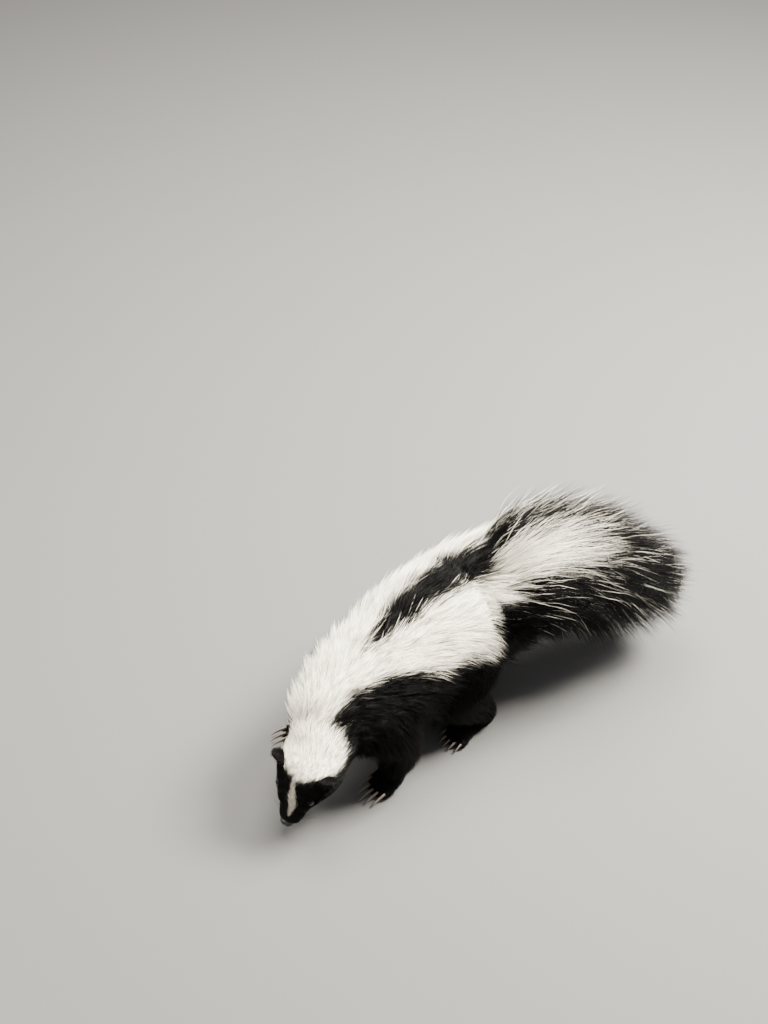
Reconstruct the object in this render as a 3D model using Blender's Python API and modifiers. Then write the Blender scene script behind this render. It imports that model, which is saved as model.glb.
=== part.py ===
"""Striped skunk with its nose to the ground, a life-size still model.

Metres, +Z up. +X is the way the trunk faces and +Y is the animal's left. The body is
modelled whole, from soft tubes along the spine and limbs, and parted with thin cuts.
"""

import math
import random

import bmesh
import bpy
from mathutils import Matrix, Vector
from mathutils.bvhtree import BVHTree

BODY_AXES = (Vector((1, 0, 0)), Vector((0, 1, 0)), Vector((0, 0, 1)))
GAP = 0.0003
VOXEL = 0.0016
SMOOTH_PASSES = 14
# Triangles of the whole body, were it all as fine as the face, or as the feet, and as it
# is at last.
FACE_TRIANGLES = 11000
FEET_TRIANGLES = 4500
BODY_TRIANGLES = 3000

# One station: x, y, z of the axis, half width, height above, depth below, coat depth.
# Sizes are those of the skin, and the coat stands over them.
TRUNK = (
    (0.1310, 0.0560, 0.0770, 0.0120, 0.0120, 0.0120, 0.010),
    (0.1245, 0.0530, 0.0800, 0.0240, 0.0240, 0.0240, 0.014),
    (0.1150, 0.0480, 0.0840, 0.0290, 0.0290, 0.0290, 0.016),
    (0.0975, 0.0420, 0.0880, 0.0340, 0.0345, 0.0360, 0.017),
    (0.0720, 0.0350, 0.0900, 0.0410, 0.0400, 0.0480, 0.018),
    (0.0400, 0.0255, 0.0920, 0.0470, 0.0430, 0.0540, 0.020),
    (0.0030, 0.0165, 0.0965, 0.0500, 0.0440, 0.0590, 0.022),
    (-0.0360, 0.0085, 0.1015, 0.0520, 0.0455, 0.0610, 0.023),
    (-0.0750, 0.0040, 0.1050, 0.0500, 0.0440, 0.0580, 0.023),
    (-0.1030, 0.0050, 0.1090, 0.0390, 0.0350, 0.0430, 0.024),
    (-0.1190, 0.0080, 0.1120, 0.0180, 0.0170, 0.0220, 0.026),
)
BELLY_COAT = 0.015
TRUNK_CORE = 0.45  # share of the coat's depth that the solid under the locks takes

TAIL = (
    (-0.1000, 0.0060, 0.1180, 0.0360, 0.0340, 0.0380, 0.026),
    (-0.1280, 0.0150, 0.1290, 0.0320, 0.0320, 0.0320, 0.045),
    (-0.1640, 0.0240, 0.1310, 0.0200, 0.0200, 0.0200, 0.064),
    (-0.2000, 0.0340, 0.1240, 0.0120, 0.0120, 0.0120, 0.073),
    (-0.2320, 0.0440, 0.1120, 0.0085, 0.0085, 0.0085, 0.069),
    (-0.2600, 0.0560, 0.0980, 0.0060, 0.0060, 0.0060, 0.058),
    (-0.2850, 0.0680, 0.0850, 0.0030, 0.0030, 0.0030, 0.042),
    (-0.3100, 0.0820, 0.0710, 0.0010, 0.0010, 0.0010, 0.016),
)
TAIL_CORE = 0.24

# Locks of the long coat, row after row: station of the first and last row, how many rows,
# locks in a row, half of the turn that a row covers, share of a row that its locks cover,
# length, and how far the tips sweep down.
LOCK_ROWS = {
    "tail": {
        "first": 5.70,
        "last": 0.60,
        "rows": 8,
        "count": 10,
        "turn": 180.0,
        "cover": 0.88,
        "length": 0.085,
        "droop": 0.0,
    },
    "neck": {
        "first": 3.05,
        "last": 1.60,
        "rows": 3,
        "count": 8,
        "turn": 100.0,
        "cover": 0.95,
        "length": 0.038,
        "droop": 0.10,
    },
    "torso": {
        "first": 9.90,
        "last": 4.05,
        "rows": 8,
        "count": 12,
        "turn": 112.0,
        "cover": 0.92,
        "length": 0.060,
        "droop": 0.22,
    },
}
LOCK_SEED = 3
LOCK_SHARES = (0.0, 0.40, 0.76)  # places of a lock's rings along it
LOCK_WIDTHS = (0.55, 1.00, 0.78)
LOCK_THICKNESS = (0.0046, 0.0036, 0.0020)
LOCK_ROOT = 0.0050  # how far a root is sunk
LOCK_FLOOR = 0.0015
LOCK_END = 0.15  # how far short of the tail's last station the hindmost tips end
LOCK_END_SCATTER = 0.25
LOCK_TURN_SCATTER = 0.06
LOCK_START_SCATTER = 0.12
LOCK_BEND_SCATTER = 0.20
LOCK_LENGTH_SCATTER = 0.12
LOCK_SHORTER = (1.0, 0.82, 0.66, 0.5)  # shares of its length that a lock in the way tries
LOCK_SPACE = GAP * 1.5  # how far locks stay off a node's neighbours
ROW_SHIFT = 0.25  # where a row's first lock stands, and how far odd rows are shifted

FACE_REACH = 0.055
FOOT_TOP = 0.020

# The head has its own axes from the nose tip: back along the skull, left and up.
NOSE_TIP = Vector((0.1855, 0.0776, 0.0120))
HEAD_YAW = math.radians(20.0)
HEAD_PITCH = math.radians(48.0)
HEAD_ROLL = math.radians(-12.0)
# One station: distance back, offset up, half width, height above, depth below, coat depth.
HEAD = (
    (0.0020, 0.0005, 0.0050, 0.0045, 0.0045, 0.0004),
    (0.0070, 0.0005, 0.0090, 0.0080, 0.0080, 0.0010),
    (0.0160, 0.0005, 0.0115, 0.0110, 0.0100, 0.0020),
    (0.0260, 0.0010, 0.0145, 0.0150, 0.0125, 0.0028),
    (0.0360, 0.0015, 0.0200, 0.0205, 0.0150, 0.0038),
    (0.0480, 0.0015, 0.0250, 0.0250, 0.0175, 0.0062),
    (0.0600, 0.0010, 0.0275, 0.0265, 0.0200, 0.0085),
    (0.0720, 0.0000, 0.0265, 0.0255, 0.0220, 0.0100),
    (0.0840, -0.0020, 0.0245, 0.0225, 0.0240, 0.0110),
    (0.0980, -0.0060, 0.0230, 0.0190, 0.0240, 0.0110),
    (0.1120, -0.0120, 0.0170, 0.0130, 0.0180, 0.0100),
)

# One station of a limb: x, y, z, half width, depth behind, depth in front, coat depth.
FORELEG_LEFT = (
    (0.0720, 0.0560, 0.0900, 0.0200, 0.0250, 0.0240, 0.012),
    (0.0630, 0.0710, 0.0700, 0.0170, 0.0220, 0.0200, 0.012),
    (0.0560, 0.0775, 0.0500, 0.0130, 0.0150, 0.0150, 0.011),
    (0.0575, 0.0805, 0.0360, 0.0115, 0.0125, 0.0125, 0.009),
    (0.0640, 0.0830, 0.0230, 0.0100, 0.0100, 0.0100, 0.006),
    (0.0680, 0.0845, 0.0130, 0.0110, 0.0080, 0.0080, 0.003),
)
FORELEG_RIGHT = (
    (0.0820, 0.0100, 0.0900, 0.0200, 0.0260, 0.0240, 0.012),
    (0.0700, -0.0100, 0.0700, 0.0170, 0.0220, 0.0200, 0.012),
    (0.0620, -0.0180, 0.0500, 0.0130, 0.0150, 0.0150, 0.011),
    (0.0770, -0.0180, 0.0360, 0.0115, 0.0125, 0.0125, 0.009),
    (0.0960, -0.0160, 0.0230, 0.0100, 0.0100, 0.0100, 0.006),
    (0.1070, -0.0150, 0.0130, 0.0110, 0.0080, 0.0080, 0.003),
)
HINDLEG_LEFT = (
    (-0.0660, 0.0320, 0.0980, 0.0240, 0.0330, 0.0320, 0.012),
    (-0.0420, 0.0520, 0.0760, 0.0190, 0.0280, 0.0270, 0.012),
    (-0.0240, 0.0620, 0.0570, 0.0150, 0.0200, 0.0200, 0.011),
    (-0.0370, 0.0680, 0.0400, 0.0120, 0.0140, 0.0140, 0.009),
    (-0.0530, 0.0720, 0.0240, 0.0095, 0.0105, 0.0110, 0.006),
    (-0.0550, 0.0730, 0.0120, 0.0100, 0.0090, 0.0110, 0.003),
)
HINDLEG_RIGHT = (
    (-0.0800, -0.0300, 0.0980, 0.0240, 0.0340, 0.0330, 0.012),
    (-0.0610, -0.0510, 0.0760, 0.0190, 0.0290, 0.0270, 0.012),
    (-0.0450, -0.0600, 0.0570, 0.0150, 0.0200, 0.0200, 0.011),
    (-0.0600, -0.0640, 0.0400, 0.0120, 0.0140, 0.0140, 0.009),
    (-0.0770, -0.0660, 0.0240, 0.0095, 0.0105, 0.0110, 0.006),
    (-0.0790, -0.0665, 0.0120, 0.0100, 0.0090, 0.0110, 0.003),
)


# Each paw: pads as forward, inward, up and three radii from the middle of the foot.
FOREPAW = {
    "pads": (
        (0.000, 0.000, 0.0085, (0.0170, 0.0140, 0.0100)),
        (-0.006, 0.000, 0.0120, (0.0130, 0.0125, 0.0110)),
    ),
    "toe_reach": 0.0150,
    "toe_pitch": 0.0062,
    "toe_lag": 0.0012,
    "thumb_lag": 0.0040,
    "toe_radii": (0.0090, 0.0036, 0.0048),
    "claw_length": 0.0190,
    "claw_height": 0.0062,
    "claw_width": 0.0032,
}
HINDPAW = {
    "pads": (
        (-0.0200, 0.000, 0.0095, (0.0130, 0.0110, 0.0105)),
        (-0.0050, 0.001, 0.0075, (0.0230, 0.0120, 0.0085)),
        (0.0080, 0.001, 0.0075, (0.0130, 0.0145, 0.0085)),
    ),
    "toe_reach": 0.0210,
    "toe_pitch": 0.0060,
    "toe_lag": 0.0011,
    "thumb_lag": 0.0040,
    "toe_radii": (0.0080, 0.0035, 0.0045),
    "claw_length": 0.0115,
    "claw_height": 0.0055,
    "claw_width": 0.0030,
}
PAWS = {
    "front_left": {"kind": FOREPAW, "centre": (0.0710, 0.0845), "yaw": 6.0, "inner": -1},
    "front_right": {"kind": FOREPAW, "centre": (0.1100, -0.0150), "yaw": -6.0, "inner": 1},
    "hind_left": {"kind": HINDPAW, "centre": (-0.0350, 0.0735), "yaw": 8.0, "inner": -1},
    "hind_right": {"kind": HINDPAW, "centre": (-0.0590, -0.0670), "yaw": -8.0, "inner": 1},
}
TOE_HEIGHT = 0.85  # share of its own half height at which a toe's middle lies
CLAW_RINGS = 4
CLAW_SIDES = 4
CLAW_ARCH = 0.10
CLAW_CLEARANCE = 0.0012
CLAW_START = 0.45  # share of a toe's half length from its middle to the claw's root
CLAW_SPREAD = 0.12
CLAW_TALL = 0.62  # half the height of a claw for its whole width
CLAW_TAPER = 0.7

# Swells of the head: back, left and up from the nose tip, and three radii. Those off the
# midline come in pairs: whisker pads, brows and cheeks. The last is the chin.
HEAD_SWELLS = (
    (0.0130, 0.0062, -0.0020, (0.0110, 0.0068, 0.0070)),
    (0.0330, 0.0110, 0.0128, (0.0130, 0.0075, 0.0062)),
    (0.0620, 0.0160, -0.0080, (0.0200, 0.0170, 0.0160)),
    (0.0170, 0.0000, -0.0085, (0.0110, 0.0070, 0.0055)),
)
EYE_STATION = 3.95
EYE_TURN = 54.0
EYE_RADIUS = 0.0045
EYE_DEPTH = 0.0034
EYE_FORWARD = 0.45
EYE_SLANT = 0.15
EYE_FACETS = (14, 8)
LID = 0.0011
LID_OPENING = (0.0044, 0.0031)
NOSE_CENTRE = (0.0034, 0.0, 0.0012)
NOSE_RADII = (0.0050, 0.0068, 0.0056)
NOSE_ROOT = 0.0040
NOSE_CUT = 0.02  # half width and length of the column that parts the nose from the head
NOSTRIL = (-0.0004, 0.0036, 0.0008)
NOSTRIL_RADII = (0.0024, 0.0013, 0.0019)
NOSTRIL_TILT = math.radians(35.0)
MOUTH_FRONT = 0.75
MOUTH_CORNER = 3.45
MOUTH_OPEN = 66.0
MOUTH_SWEEP = 1.5  # how late the line runs back on its way to the corner
MOUTH_RISE = 2.2  # how soon it has climbed to its full height
MOUTH_FORWARD = 0.6  # how much the lips at the front face ahead
MOUTH_STEPS = 18
MOUTH_DEPTH = 0.0030
MOUTH_GAP = 0.0006
LIP = 0.0015
LIP_SINK = 0.3
LIP_THINNING = 0.55
LIP_TALL = 1.3
LIP_SIDES = 6
EAR_TURN = 50.0
EAR_BACK = 0.0620
EAR_REACH = 0.0330
EAR_RADII = (0.0110, 0.0125, 0.0060)
EAR_WALL = 0.0018
EAR_HOLLOW_SHIFT = 0.0034
EAR_HOLLOW_RISE = 0.00036
EAR_OUTWARD = 0.55
EAR_LEAN = 0.12
HARD_EDGE = math.radians(40.0)

COLOURS = {
    "fur": ((0.020, 0.018, 0.017), 0.75),
    "neck": ((0.74, 0.72, 0.66), 0.75),
    "tail": ((0.30, 0.28, 0.25), 0.75),
    "nose": ((0.012, 0.011, 0.011), 0.35),
    "eye": ((0.008, 0.006, 0.005), 0.08),
}


def mix(rows, at):
    """The row at a fractional place in a table, on one smooth curve through its rows."""
    last = len(rows) - 1
    at = min(max(at, 0.0), float(last))
    i = min(int(at), last - 1)
    t = at - i
    here, there = rows[i], rows[i + 1]
    before = rows[i - 1] if i else [2 * b - c for b, c in zip(here, there)]
    after = rows[i + 2] if i + 2 <= last else [2 * c - b for b, c in zip(here, there)]
    mixed = []
    for a, b, c, d in zip(before, here, there, after):
        cubic = 3 * (b - c) + d - a
        square = 2 * a - 5 * b + 4 * c - d
        mixed.append(b + 0.5 * t * (c - a + t * (square + t * cubic)))
    return mixed


def head_axes():
    """Back, left and up of the head as unit vectors."""
    forward = Vector(
        (
            math.cos(HEAD_YAW) * math.cos(HEAD_PITCH),
            math.sin(HEAD_YAW) * math.cos(HEAD_PITCH),
            -math.sin(HEAD_PITCH),
        )
    )
    left = Vector((0, 0, 1)).cross(forward).normalized()
    up = forward.cross(left)
    roll = Matrix.Rotation(HEAD_ROLL, 3, forward)
    return -forward, roll @ left, roll @ up


BACK, LEFT, UP = head_axes()


def head_point(back, left, up):
    """A place given along the head's own axes."""
    return NOSE_TIP + BACK * back + LEFT * left + UP * up


class Tube:
    """A soft tube along stations, with a place for any station, angle and height over it.

    The angle runs from the top, 0, over the left side, a quarter turn, to the underside.
    """

    def __init__(self, rows, core=1.0, under=None, side=None, axes=None):
        self.rows = rows
        self.core = core
        self.under = under
        self.side = side
        self.axes = axes
        self.last = len(rows) - 1

    def centre(self, at):
        """The axis at a station."""
        return Vector(mix(self.rows, at)[:3])

    def frame(self, at):
        """Centre, direction, left and up at a station."""
        centre = self.centre(at)
        if self.axes:
            return centre, *self.axes
        step = 0.05
        along = (self.centre(at + step) - self.centre(at - step)).normalized()
        if self.side is None:
            left = along.cross(Vector((0, 0, 1))).normalized()
        else:
            left = (self.side - along * self.side.dot(along)).normalized()
        return centre, along, left, left.cross(along)

    def sizes(self, at):
        """Half width, height and depth of the solid there."""
        width, above, below, coat = mix(self.rows, at)[3:7]
        under = coat * self.core if self.under is None else min(self.under, coat)
        return width + coat * self.core, above + coat * self.core, below + under

    def coat(self, at):
        """How deep the coat is at a station."""
        return mix(self.rows, at)[6]

    def point(self, at, angle, height=0.0):
        """A place over the tube's side."""
        centre, _, left, up = self.frame(at)
        width, above, below = self.sizes(at)
        tall = above if math.cos(angle) > 0 else below
        return (
            centre
            + left * ((width + height) * math.sin(angle))
            + up * ((tall + height) * math.cos(angle))
        )

    def outward(self, at, angle):
        """The direction out of the tube's side."""
        return (self.point(at, angle, 0.01) - self.point(at, angle)).normalized()


def head_rows():
    """The head's stations in the body's axes."""
    return tuple(
        (*head_point(back, 0, up), width, above, below, coat)
        for back, up, width, above, below, coat in HEAD
    )


TRUNK_TUBE = Tube(TRUNK, TRUNK_CORE, BELLY_COAT)
TAIL_TUBE = Tube(TAIL, TAIL_CORE)
HEAD_TUBE = Tube(head_rows(), axes=(BACK, LEFT, UP))
SIDE = BODY_AXES[1]
LIMBS = {
    "front_left": Tube(FORELEG_LEFT, side=SIDE),
    "front_right": Tube(FORELEG_RIGHT, side=SIDE),
    "hind_left": Tube(HINDLEG_LEFT, side=SIDE),
    "hind_right": Tube(HINDLEG_RIGHT, side=SIDE),
}


def clear_scene():
    """Takes away whatever the scene holds at the start."""
    for old in list(bpy.data.objects):
        bpy.data.objects.remove(old)


def new_collection(name):
    """An empty collection in the scene."""
    made = bpy.data.collections.new(name)
    bpy.context.scene.collection.children.link(made)
    return made


def add_mesh(name, bm, collection):
    """The bmesh as an object of that collection."""
    mesh = bpy.data.meshes.new(name)
    bm.to_mesh(mesh)
    bm.free()
    obj = bpy.data.objects.new(name, mesh)
    collection.objects.link(obj)
    return obj


def loft(bm, rings, tip=None):
    """Joins rings of points into one closed skin, with a fan at the root and at the tip."""
    loops = [[bm.verts.new(p) for p in ring] for ring in rings]
    count = len(loops[0])
    for a, b in zip(loops, loops[1:]):
        for i in range(count):
            j = (i + 1) % count
            bm.faces.new((a[i], a[j], b[j]))
            bm.faces.new((a[i], b[j], b[i]))
    middle = [sum(ring, Vector()) / count for ring in (rings[0], rings[-1])]
    for loop, end in zip((loops[0], loops[-1]), (middle[0], tip or middle[1])):
        point = bm.verts.new(end)
        for i in range(count):
            bm.faces.new((loop[i], loop[(i + 1) % count], point))
    bmesh.ops.recalc_face_normals(bm, faces=bm.faces)


def lofted(name, rings, collection, tip=None):
    """Rings of points joined into an object."""
    bm = bmesh.new()
    loft(bm, rings, tip)
    return add_mesh(name, bm, collection)


def tube_solid(name, tube, collection, steps=5, around=28):
    """A tube as a closed mesh."""
    turns = [2 * math.pi * i / around for i in range(around)]
    ats = [k / steps for k in range(tube.last * steps + 1)]
    rings = [[tube.point(at, turn) for turn in turns] for at in ats]
    return lofted(name, rings, collection)


def axes_matrix(centre, axes, scale):
    """Moves a unit shape to a centre, with its x, y and z along three axes."""
    turn = Matrix([[*row] for row in zip(*axes)]).to_4x4()
    return Matrix.Translation(centre) @ turn @ Matrix.Diagonal((*scale, 1.0))


def ball(name, centre, radii, collection, axes=BODY_AXES, segments=16, rings=10):
    """An ellipsoid along three axes."""
    bm = bmesh.new()
    bmesh.ops.create_uvsphere(bm, u_segments=segments, v_segments=rings, radius=1.0)
    bm.transform(axes_matrix(centre, axes, radii))
    bmesh.ops.triangulate(bm, faces=bm.faces)
    bmesh.ops.recalc_face_normals(bm, faces=bm.faces)
    return add_mesh(name, bm, collection)


class Region:
    """A column with a flat root that holds one part of the body, to cut it free along."""

    def __init__(self, root, out, wide, half, length, sides=4):
        self.root = Vector(root)
        self.out = Vector(out).normalized()
        across = Vector(wide) - self.out * Vector(wide).dot(self.out)
        self.wide = across.normalized()
        self.half = half
        self.length = length
        self.sides = sides

    def solid(self, collection, grow=0.0):
        """The column, larger all round by that much."""
        bm = bmesh.new()
        axes = (self.wide, self.out.cross(self.wide), self.out)
        size = (self.half[0] + grow, self.half[1] + grow, self.length / 2 + grow)
        middle = self.root + self.out * self.length / 2
        if self.sides == 4:
            bmesh.ops.create_cube(bm, size=2.0)
        else:
            bmesh.ops.create_cone(
                bm, cap_ends=True, segments=self.sides, radius1=1.0, radius2=1.0, depth=2.0
            )
        bm.transform(axes_matrix(middle, axes, size))
        return add_mesh("region", bm, collection)


def regions():
    """Where each part leaves the body, outermost parts first."""
    across, ahead = BODY_AXES[1], BODY_AXES[0]
    fore, hind = (0.042, 0.045), (0.057, 0.053)
    box = (0.030, 0.034)
    foot = (0.028, 0.052)
    return {
        "paw_front_left": Region((0.063, 0.083, 0.021), (0.6, 0.1, -0.8), across, box, 0.06),
        "paw_front_right": Region((0.100, -0.016, 0.021), (0.7, -0.1, -0.7), across, box, 0.06),
        "paw_hind_left": Region((-0.034, 0.073, 0.021), (0, 0, -1), across, foot, 0.04),
        "paw_hind_right": Region((-0.058, -0.067, 0.021), (0, 0, -1), across, foot, 0.04),
        "leg_front_left": Region((0.063, 0.073, 0.068), (0, 0.72, -0.68), ahead, fore, 0.12, 20),
        "leg_front_right": Region((0.075, -0.010, 0.068), (0, -0.72, -0.68), ahead, fore, 0.12, 20),
        "leg_hind_left": Region((-0.044, 0.056, 0.078), (0, 0.74, -0.67), ahead, hind, 0.14, 20),
        "leg_hind_right": Region((-0.064, -0.053, 0.081), (0, -0.74, -0.67), ahead, hind, 0.14, 20),
        "head": Region(head_point(0.079, 0, 0), -BACK, LEFT, (0.046, 0.046), 0.10),
        "neck": Region((0.090, 0.040, 0.088), (0.94, 0.33, -0.10), across, (0.10, 0.10), 0.14),
        "tail": Region((-0.116, 0.010, 0.118), (-0.93, 0.22, 0.30), across, (0.14, 0.14), 0.30),
    }


def settle(obj):
    """Makes an object's modifiers part of its mesh."""
    graph = bpy.context.evaluated_depsgraph_get()
    mesh = bpy.data.meshes.new_from_object(obj.evaluated_get(graph))
    obj.modifiers.clear()
    obj.data = mesh


def keep_largest(obj):
    """Drops all but the largest closed surface."""
    bm = bmesh.new()
    bm.from_mesh(obj.data)
    bmesh.ops.triangulate(bm, faces=bm.faces)
    unseen = set(bm.faces)
    islands = []
    while unseen:
        front = [unseen.pop()]
        island = list(front)
        while front:
            face = front.pop()
            near = {f for edge in face.edges for f in edge.link_faces} & unseen
            unseen -= near
            front.extend(near)
            island.extend(near)
        islands.append(island)
    islands.sort(key=lambda faces: sum(f.calc_area() for f in faces))
    scraps = [face for island in islands[:-1] for face in island]
    bmesh.ops.delete(bm, geom=scraps, context="FACES")
    loose = [v for v in bm.verts if not v.link_faces]
    bmesh.ops.delete(bm, geom=loose, context="VERTS")
    bm.to_mesh(obj.data)
    bm.free()


def carve(obj, tool, operation="DIFFERENCE"):
    """Cuts an object with a tool, or keeps what both hold, and drops the tool."""
    change = obj.modifiers.new("carve", "BOOLEAN")
    change.object = tool
    change.operation = operation
    settle(obj)
    bpy.data.objects.remove(tool)


def fuse(obj, pieces):
    """Joins closed pieces to an object with one union and drops them."""
    change = obj.modifiers.new("fuse", "BOOLEAN")
    change.operand_type = "COLLECTION"
    change.collection = pieces
    change.operation = "UNION"
    settle(obj)
    for piece in list(pieces.objects):
        bpy.data.objects.remove(piece)
    keep_largest(obj)


def copy_of(obj, name, collection):
    """A copy with a mesh of its own."""
    made = obj.copy()
    made.data = obj.data.copy()
    made.name = name
    collection.objects.link(made)
    return made


def swollen(obj, by, collection):
    """A copy whose surface lies further out."""
    made = copy_of(obj, "swollen", collection)
    bm = bmesh.new()
    bm.from_mesh(made.data)
    bm.normal_update()
    for vert in bm.verts:
        vert.co += vert.normal * by
    bm.to_mesh(made.data)
    bm.free()
    return made


def part_off(body, name, region, parts, cutters):
    """Cuts the part inside a region from the body, with the gap between the two."""
    part = copy_of(body, name, parts)
    carve(part, region.solid(cutters), "INTERSECT")
    keep_largest(part)
    carve(body, region.solid(cutters, GAP))
    keep_largest(body)
    return part


def paw_axes(paw):
    """Forward, left and up of a paw that stands on the floor."""
    turn = math.radians(paw["yaw"])
    forward = Vector((math.cos(turn), math.sin(turn), 0))
    return forward, Vector((-forward.y, forward.x, 0)), Vector((0, 0, 1))


def paw_place(paw, forward, left, up):
    """A place given from the middle of a paw's sole."""
    ahead, aside, above = paw_axes(paw)
    return Vector((*paw["centre"], 0)) + ahead * forward + aside * left + above * up


def toe_rows(paw):
    """For each toe from right to left, its sideways offset and how far it lags."""
    kind = paw["kind"]
    for k in (-2, -1, 0, 1, 2):
        inner = 1 if k * paw["inner"] > 0 else 0
        lag = kind["toe_lag"] * k * k + (kind["thumb_lag"] if abs(k) == 2 and inner else 0)
        yield k * kind["toe_pitch"], lag


def shape_paw(name, paw, flesh):
    """Palm, heel and toes as overlapping soft balls."""
    kind = paw["kind"]
    axes = paw_axes(paw)
    for forward, left, up, radii in kind["pads"]:
        ball(name, paw_place(paw, forward, left * paw["inner"], up), radii, flesh, axes)
    for offset, lag in toe_rows(paw):
        height = kind["toe_radii"][2] * TOE_HEIGHT
        centre = paw_place(paw, kind["toe_reach"] - lag, offset, height)
        ball(name, centre, kind["toe_radii"], flesh, axes)


def claws(paw, pieces):
    """One curved claw out of each toe, clear of the floor."""
    kind = paw["kind"]
    _, aside, above = paw_axes(paw)
    long = kind["claw_length"]
    fall = kind["claw_height"] - CLAW_CLEARANCE
    turns = [2 * math.pi * i / CLAW_SIDES for i in range(CLAW_SIDES)]
    for offset, lag in toe_rows(paw):
        rings = []
        start = kind["toe_reach"] - lag + kind["toe_radii"][0] * CLAW_START
        for k in range(CLAW_RINGS):
            t = k / CLAW_RINGS
            height = kind["claw_height"] + CLAW_ARCH * long * math.sin(math.pi * t) - fall * t
            middle = paw_place(paw, start + long * t, offset * (1 + CLAW_SPREAD * t), height)
            thin = kind["claw_width"] * (1 - t) ** CLAW_TAPER
            sideways = [aside * (thin / 2 * math.sin(turn)) for turn in turns]
            upright = [above * (thin * CLAW_TALL * math.cos(turn)) for turn in turns]
            rings.append([middle + side + rise for side, rise in zip(sideways, upright)])
        tip = paw_place(paw, start + long, offset * (1 + CLAW_SPREAD), CLAW_CLEARANCE)
        lofted("claw", rings, pieces, tip)


def shape_body(flesh):
    """All of the animal's flesh and coat as overlapping soft solids."""
    tube_solid("trunk", TRUNK_TUBE, flesh)
    tube_solid("tail", TAIL_TUBE, flesh)
    tube_solid("skull", HEAD_TUBE, flesh)
    for name, tube in LIMBS.items():
        tube_solid(name, tube, flesh)
    for name, paw in PAWS.items():
        shape_paw(name, paw, flesh)
    for back, left, up, radii in HEAD_SWELLS:
        for side in (1, -1) if left else (1,):
            centre = head_point(back, left * side, up)
            ball("swell", centre, radii, flesh, (BACK, LEFT, UP))


def is_face(point):
    """Whether a place belongs to the face."""
    return (point - head_point(0.03, 0, 0)).length < FACE_REACH


def is_face_or_foot(point):
    """Whether a place belongs to the face or a foot."""
    return is_face(point) or point.z < FOOT_TOP


def simplify(body, keep, triangles):
    """Thins the surface out to a count of triangles, and leaves what it is told to keep."""
    group = body.vertex_groups.new(name="thinned")
    chosen = [v.index for v in body.data.vertices if not keep(v.co)]
    group.add(chosen, 1.0, "REPLACE")
    faces = body.data.polygons
    corners = sum(len(face.vertices) - 2 for face in faces)
    fewer = body.modifiers.new("fewer", "DECIMATE")
    fewer.ratio = triangles / corners
    fewer.vertex_group = group.name
    settle(body)
    body.vertex_groups.clear()


def level_soles(body):
    """Flattens whatever reaches below the floor onto it."""
    for vert in body.data.vertices:
        vert.co.z = max(0.0, vert.co.z)


def whole_body(flesh, collection):
    """The soft solids grown into one smooth surface with a flat under each foot."""
    bm = bmesh.new()
    for obj in list(flesh.objects):
        bm.from_mesh(obj.data)
        bpy.data.objects.remove(obj)
    body = add_mesh("torso", bm, collection)
    skin = body.modifiers.new("skin", "REMESH")
    skin.mode = "VOXEL"
    skin.voxel_size = VOXEL
    soften = body.modifiers.new("soften", "SMOOTH")
    soften.factor = 0.5
    soften.iterations = SMOOTH_PASSES
    settle(body)
    level_soles(body)
    simplify(body, lambda point: False, FACE_TRIANGLES)
    simplify(body, is_face, FEET_TRIANGLES)
    simplify(body, is_face_or_foot, BODY_TRIANGLES)
    level_soles(body)
    return body


def eye_frame(side):
    """Centre of an eyeball, the way it looks, and the directions along and across its lids."""
    turn = math.radians(EYE_TURN) * side
    surface = HEAD_TUBE.point(EYE_STATION, turn)
    out = HEAD_TUBE.outward(EYE_STATION, turn)
    look = (out - BACK * EYE_FORWARD).normalized()
    along = (-BACK - look * look.dot(-BACK)).normalized()
    slanted = (along - UP * EYE_SLANT).normalized()
    across = look.cross(slanted).normalized()
    return surface - out * EYE_DEPTH, look, across.cross(look), across


def set_eye(head, side, name, parts, cutters):
    """A ball of an eye in a socket between two lids."""
    centre, look, along, across = eye_frame(side)
    axes = (along, across, look)
    lids = ball("lids", centre, [EYE_RADIUS + LID] * 3, cutters, axes, *EYE_FACETS)
    carve(head, lids, "UNION")
    opening = ball(
        "opening",
        centre + look * (EYE_RADIUS + LID),
        (LID_OPENING[0], LID_OPENING[1], EYE_RADIUS),
        cutters,
        axes,
    )
    carve(head, opening)
    carve(head, ball("socket", centre, [EYE_RADIUS + GAP] * 3, cutters, axes, 12, 8))
    keep_largest(head)
    ball(name, centre, [EYE_RADIUS] * 3, parts, axes, *EYE_FACETS)


def set_nose(head, parts, cutters):
    """The bare pad at the tip of the muzzle with a nostril on each side."""
    axes = (BACK, LEFT, UP)
    pad = ball("nose", head_point(*NOSE_CENTRE), NOSE_RADII, parts, axes, 12, 8)
    for side in (1, -1):
        place = head_point(NOSTRIL[0], NOSTRIL[1] * side, NOSTRIL[2])
        tilt = Matrix.Rotation(NOSTRIL_TILT * side, 3, BACK)
        pit_axes = (BACK, tilt @ LEFT, tilt @ UP)
        carve(pad, ball("pit", place, NOSTRIL_RADII, cutters, pit_axes, 8, 6))
    half = (NOSE_CUT, NOSE_CUT)
    behind = Region(head_point(NOSE_ROOT - GAP, 0, 0), BACK, LEFT, half, NOSE_CUT)
    carve(pad, behind.solid(cutters))
    keep_largest(pad)
    before = Region(head_point(NOSE_ROOT, 0, 0), -BACK, LEFT, half, NOSE_CUT)
    carve(head, before.solid(cutters))
    keep_largest(head)


def mouth_station(share):
    """Station and turn of a place on the mouth's line, from one corner, -1, to the other, 1."""
    away = abs(share)
    at = MOUTH_FRONT + (MOUTH_CORNER - MOUTH_FRONT) * away**MOUTH_SWEEP
    climb = math.sin(min(1.0, away * MOUTH_RISE) * math.pi / 2)
    return at, math.copysign(math.pi - math.radians(MOUTH_OPEN) * climb, share)


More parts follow.
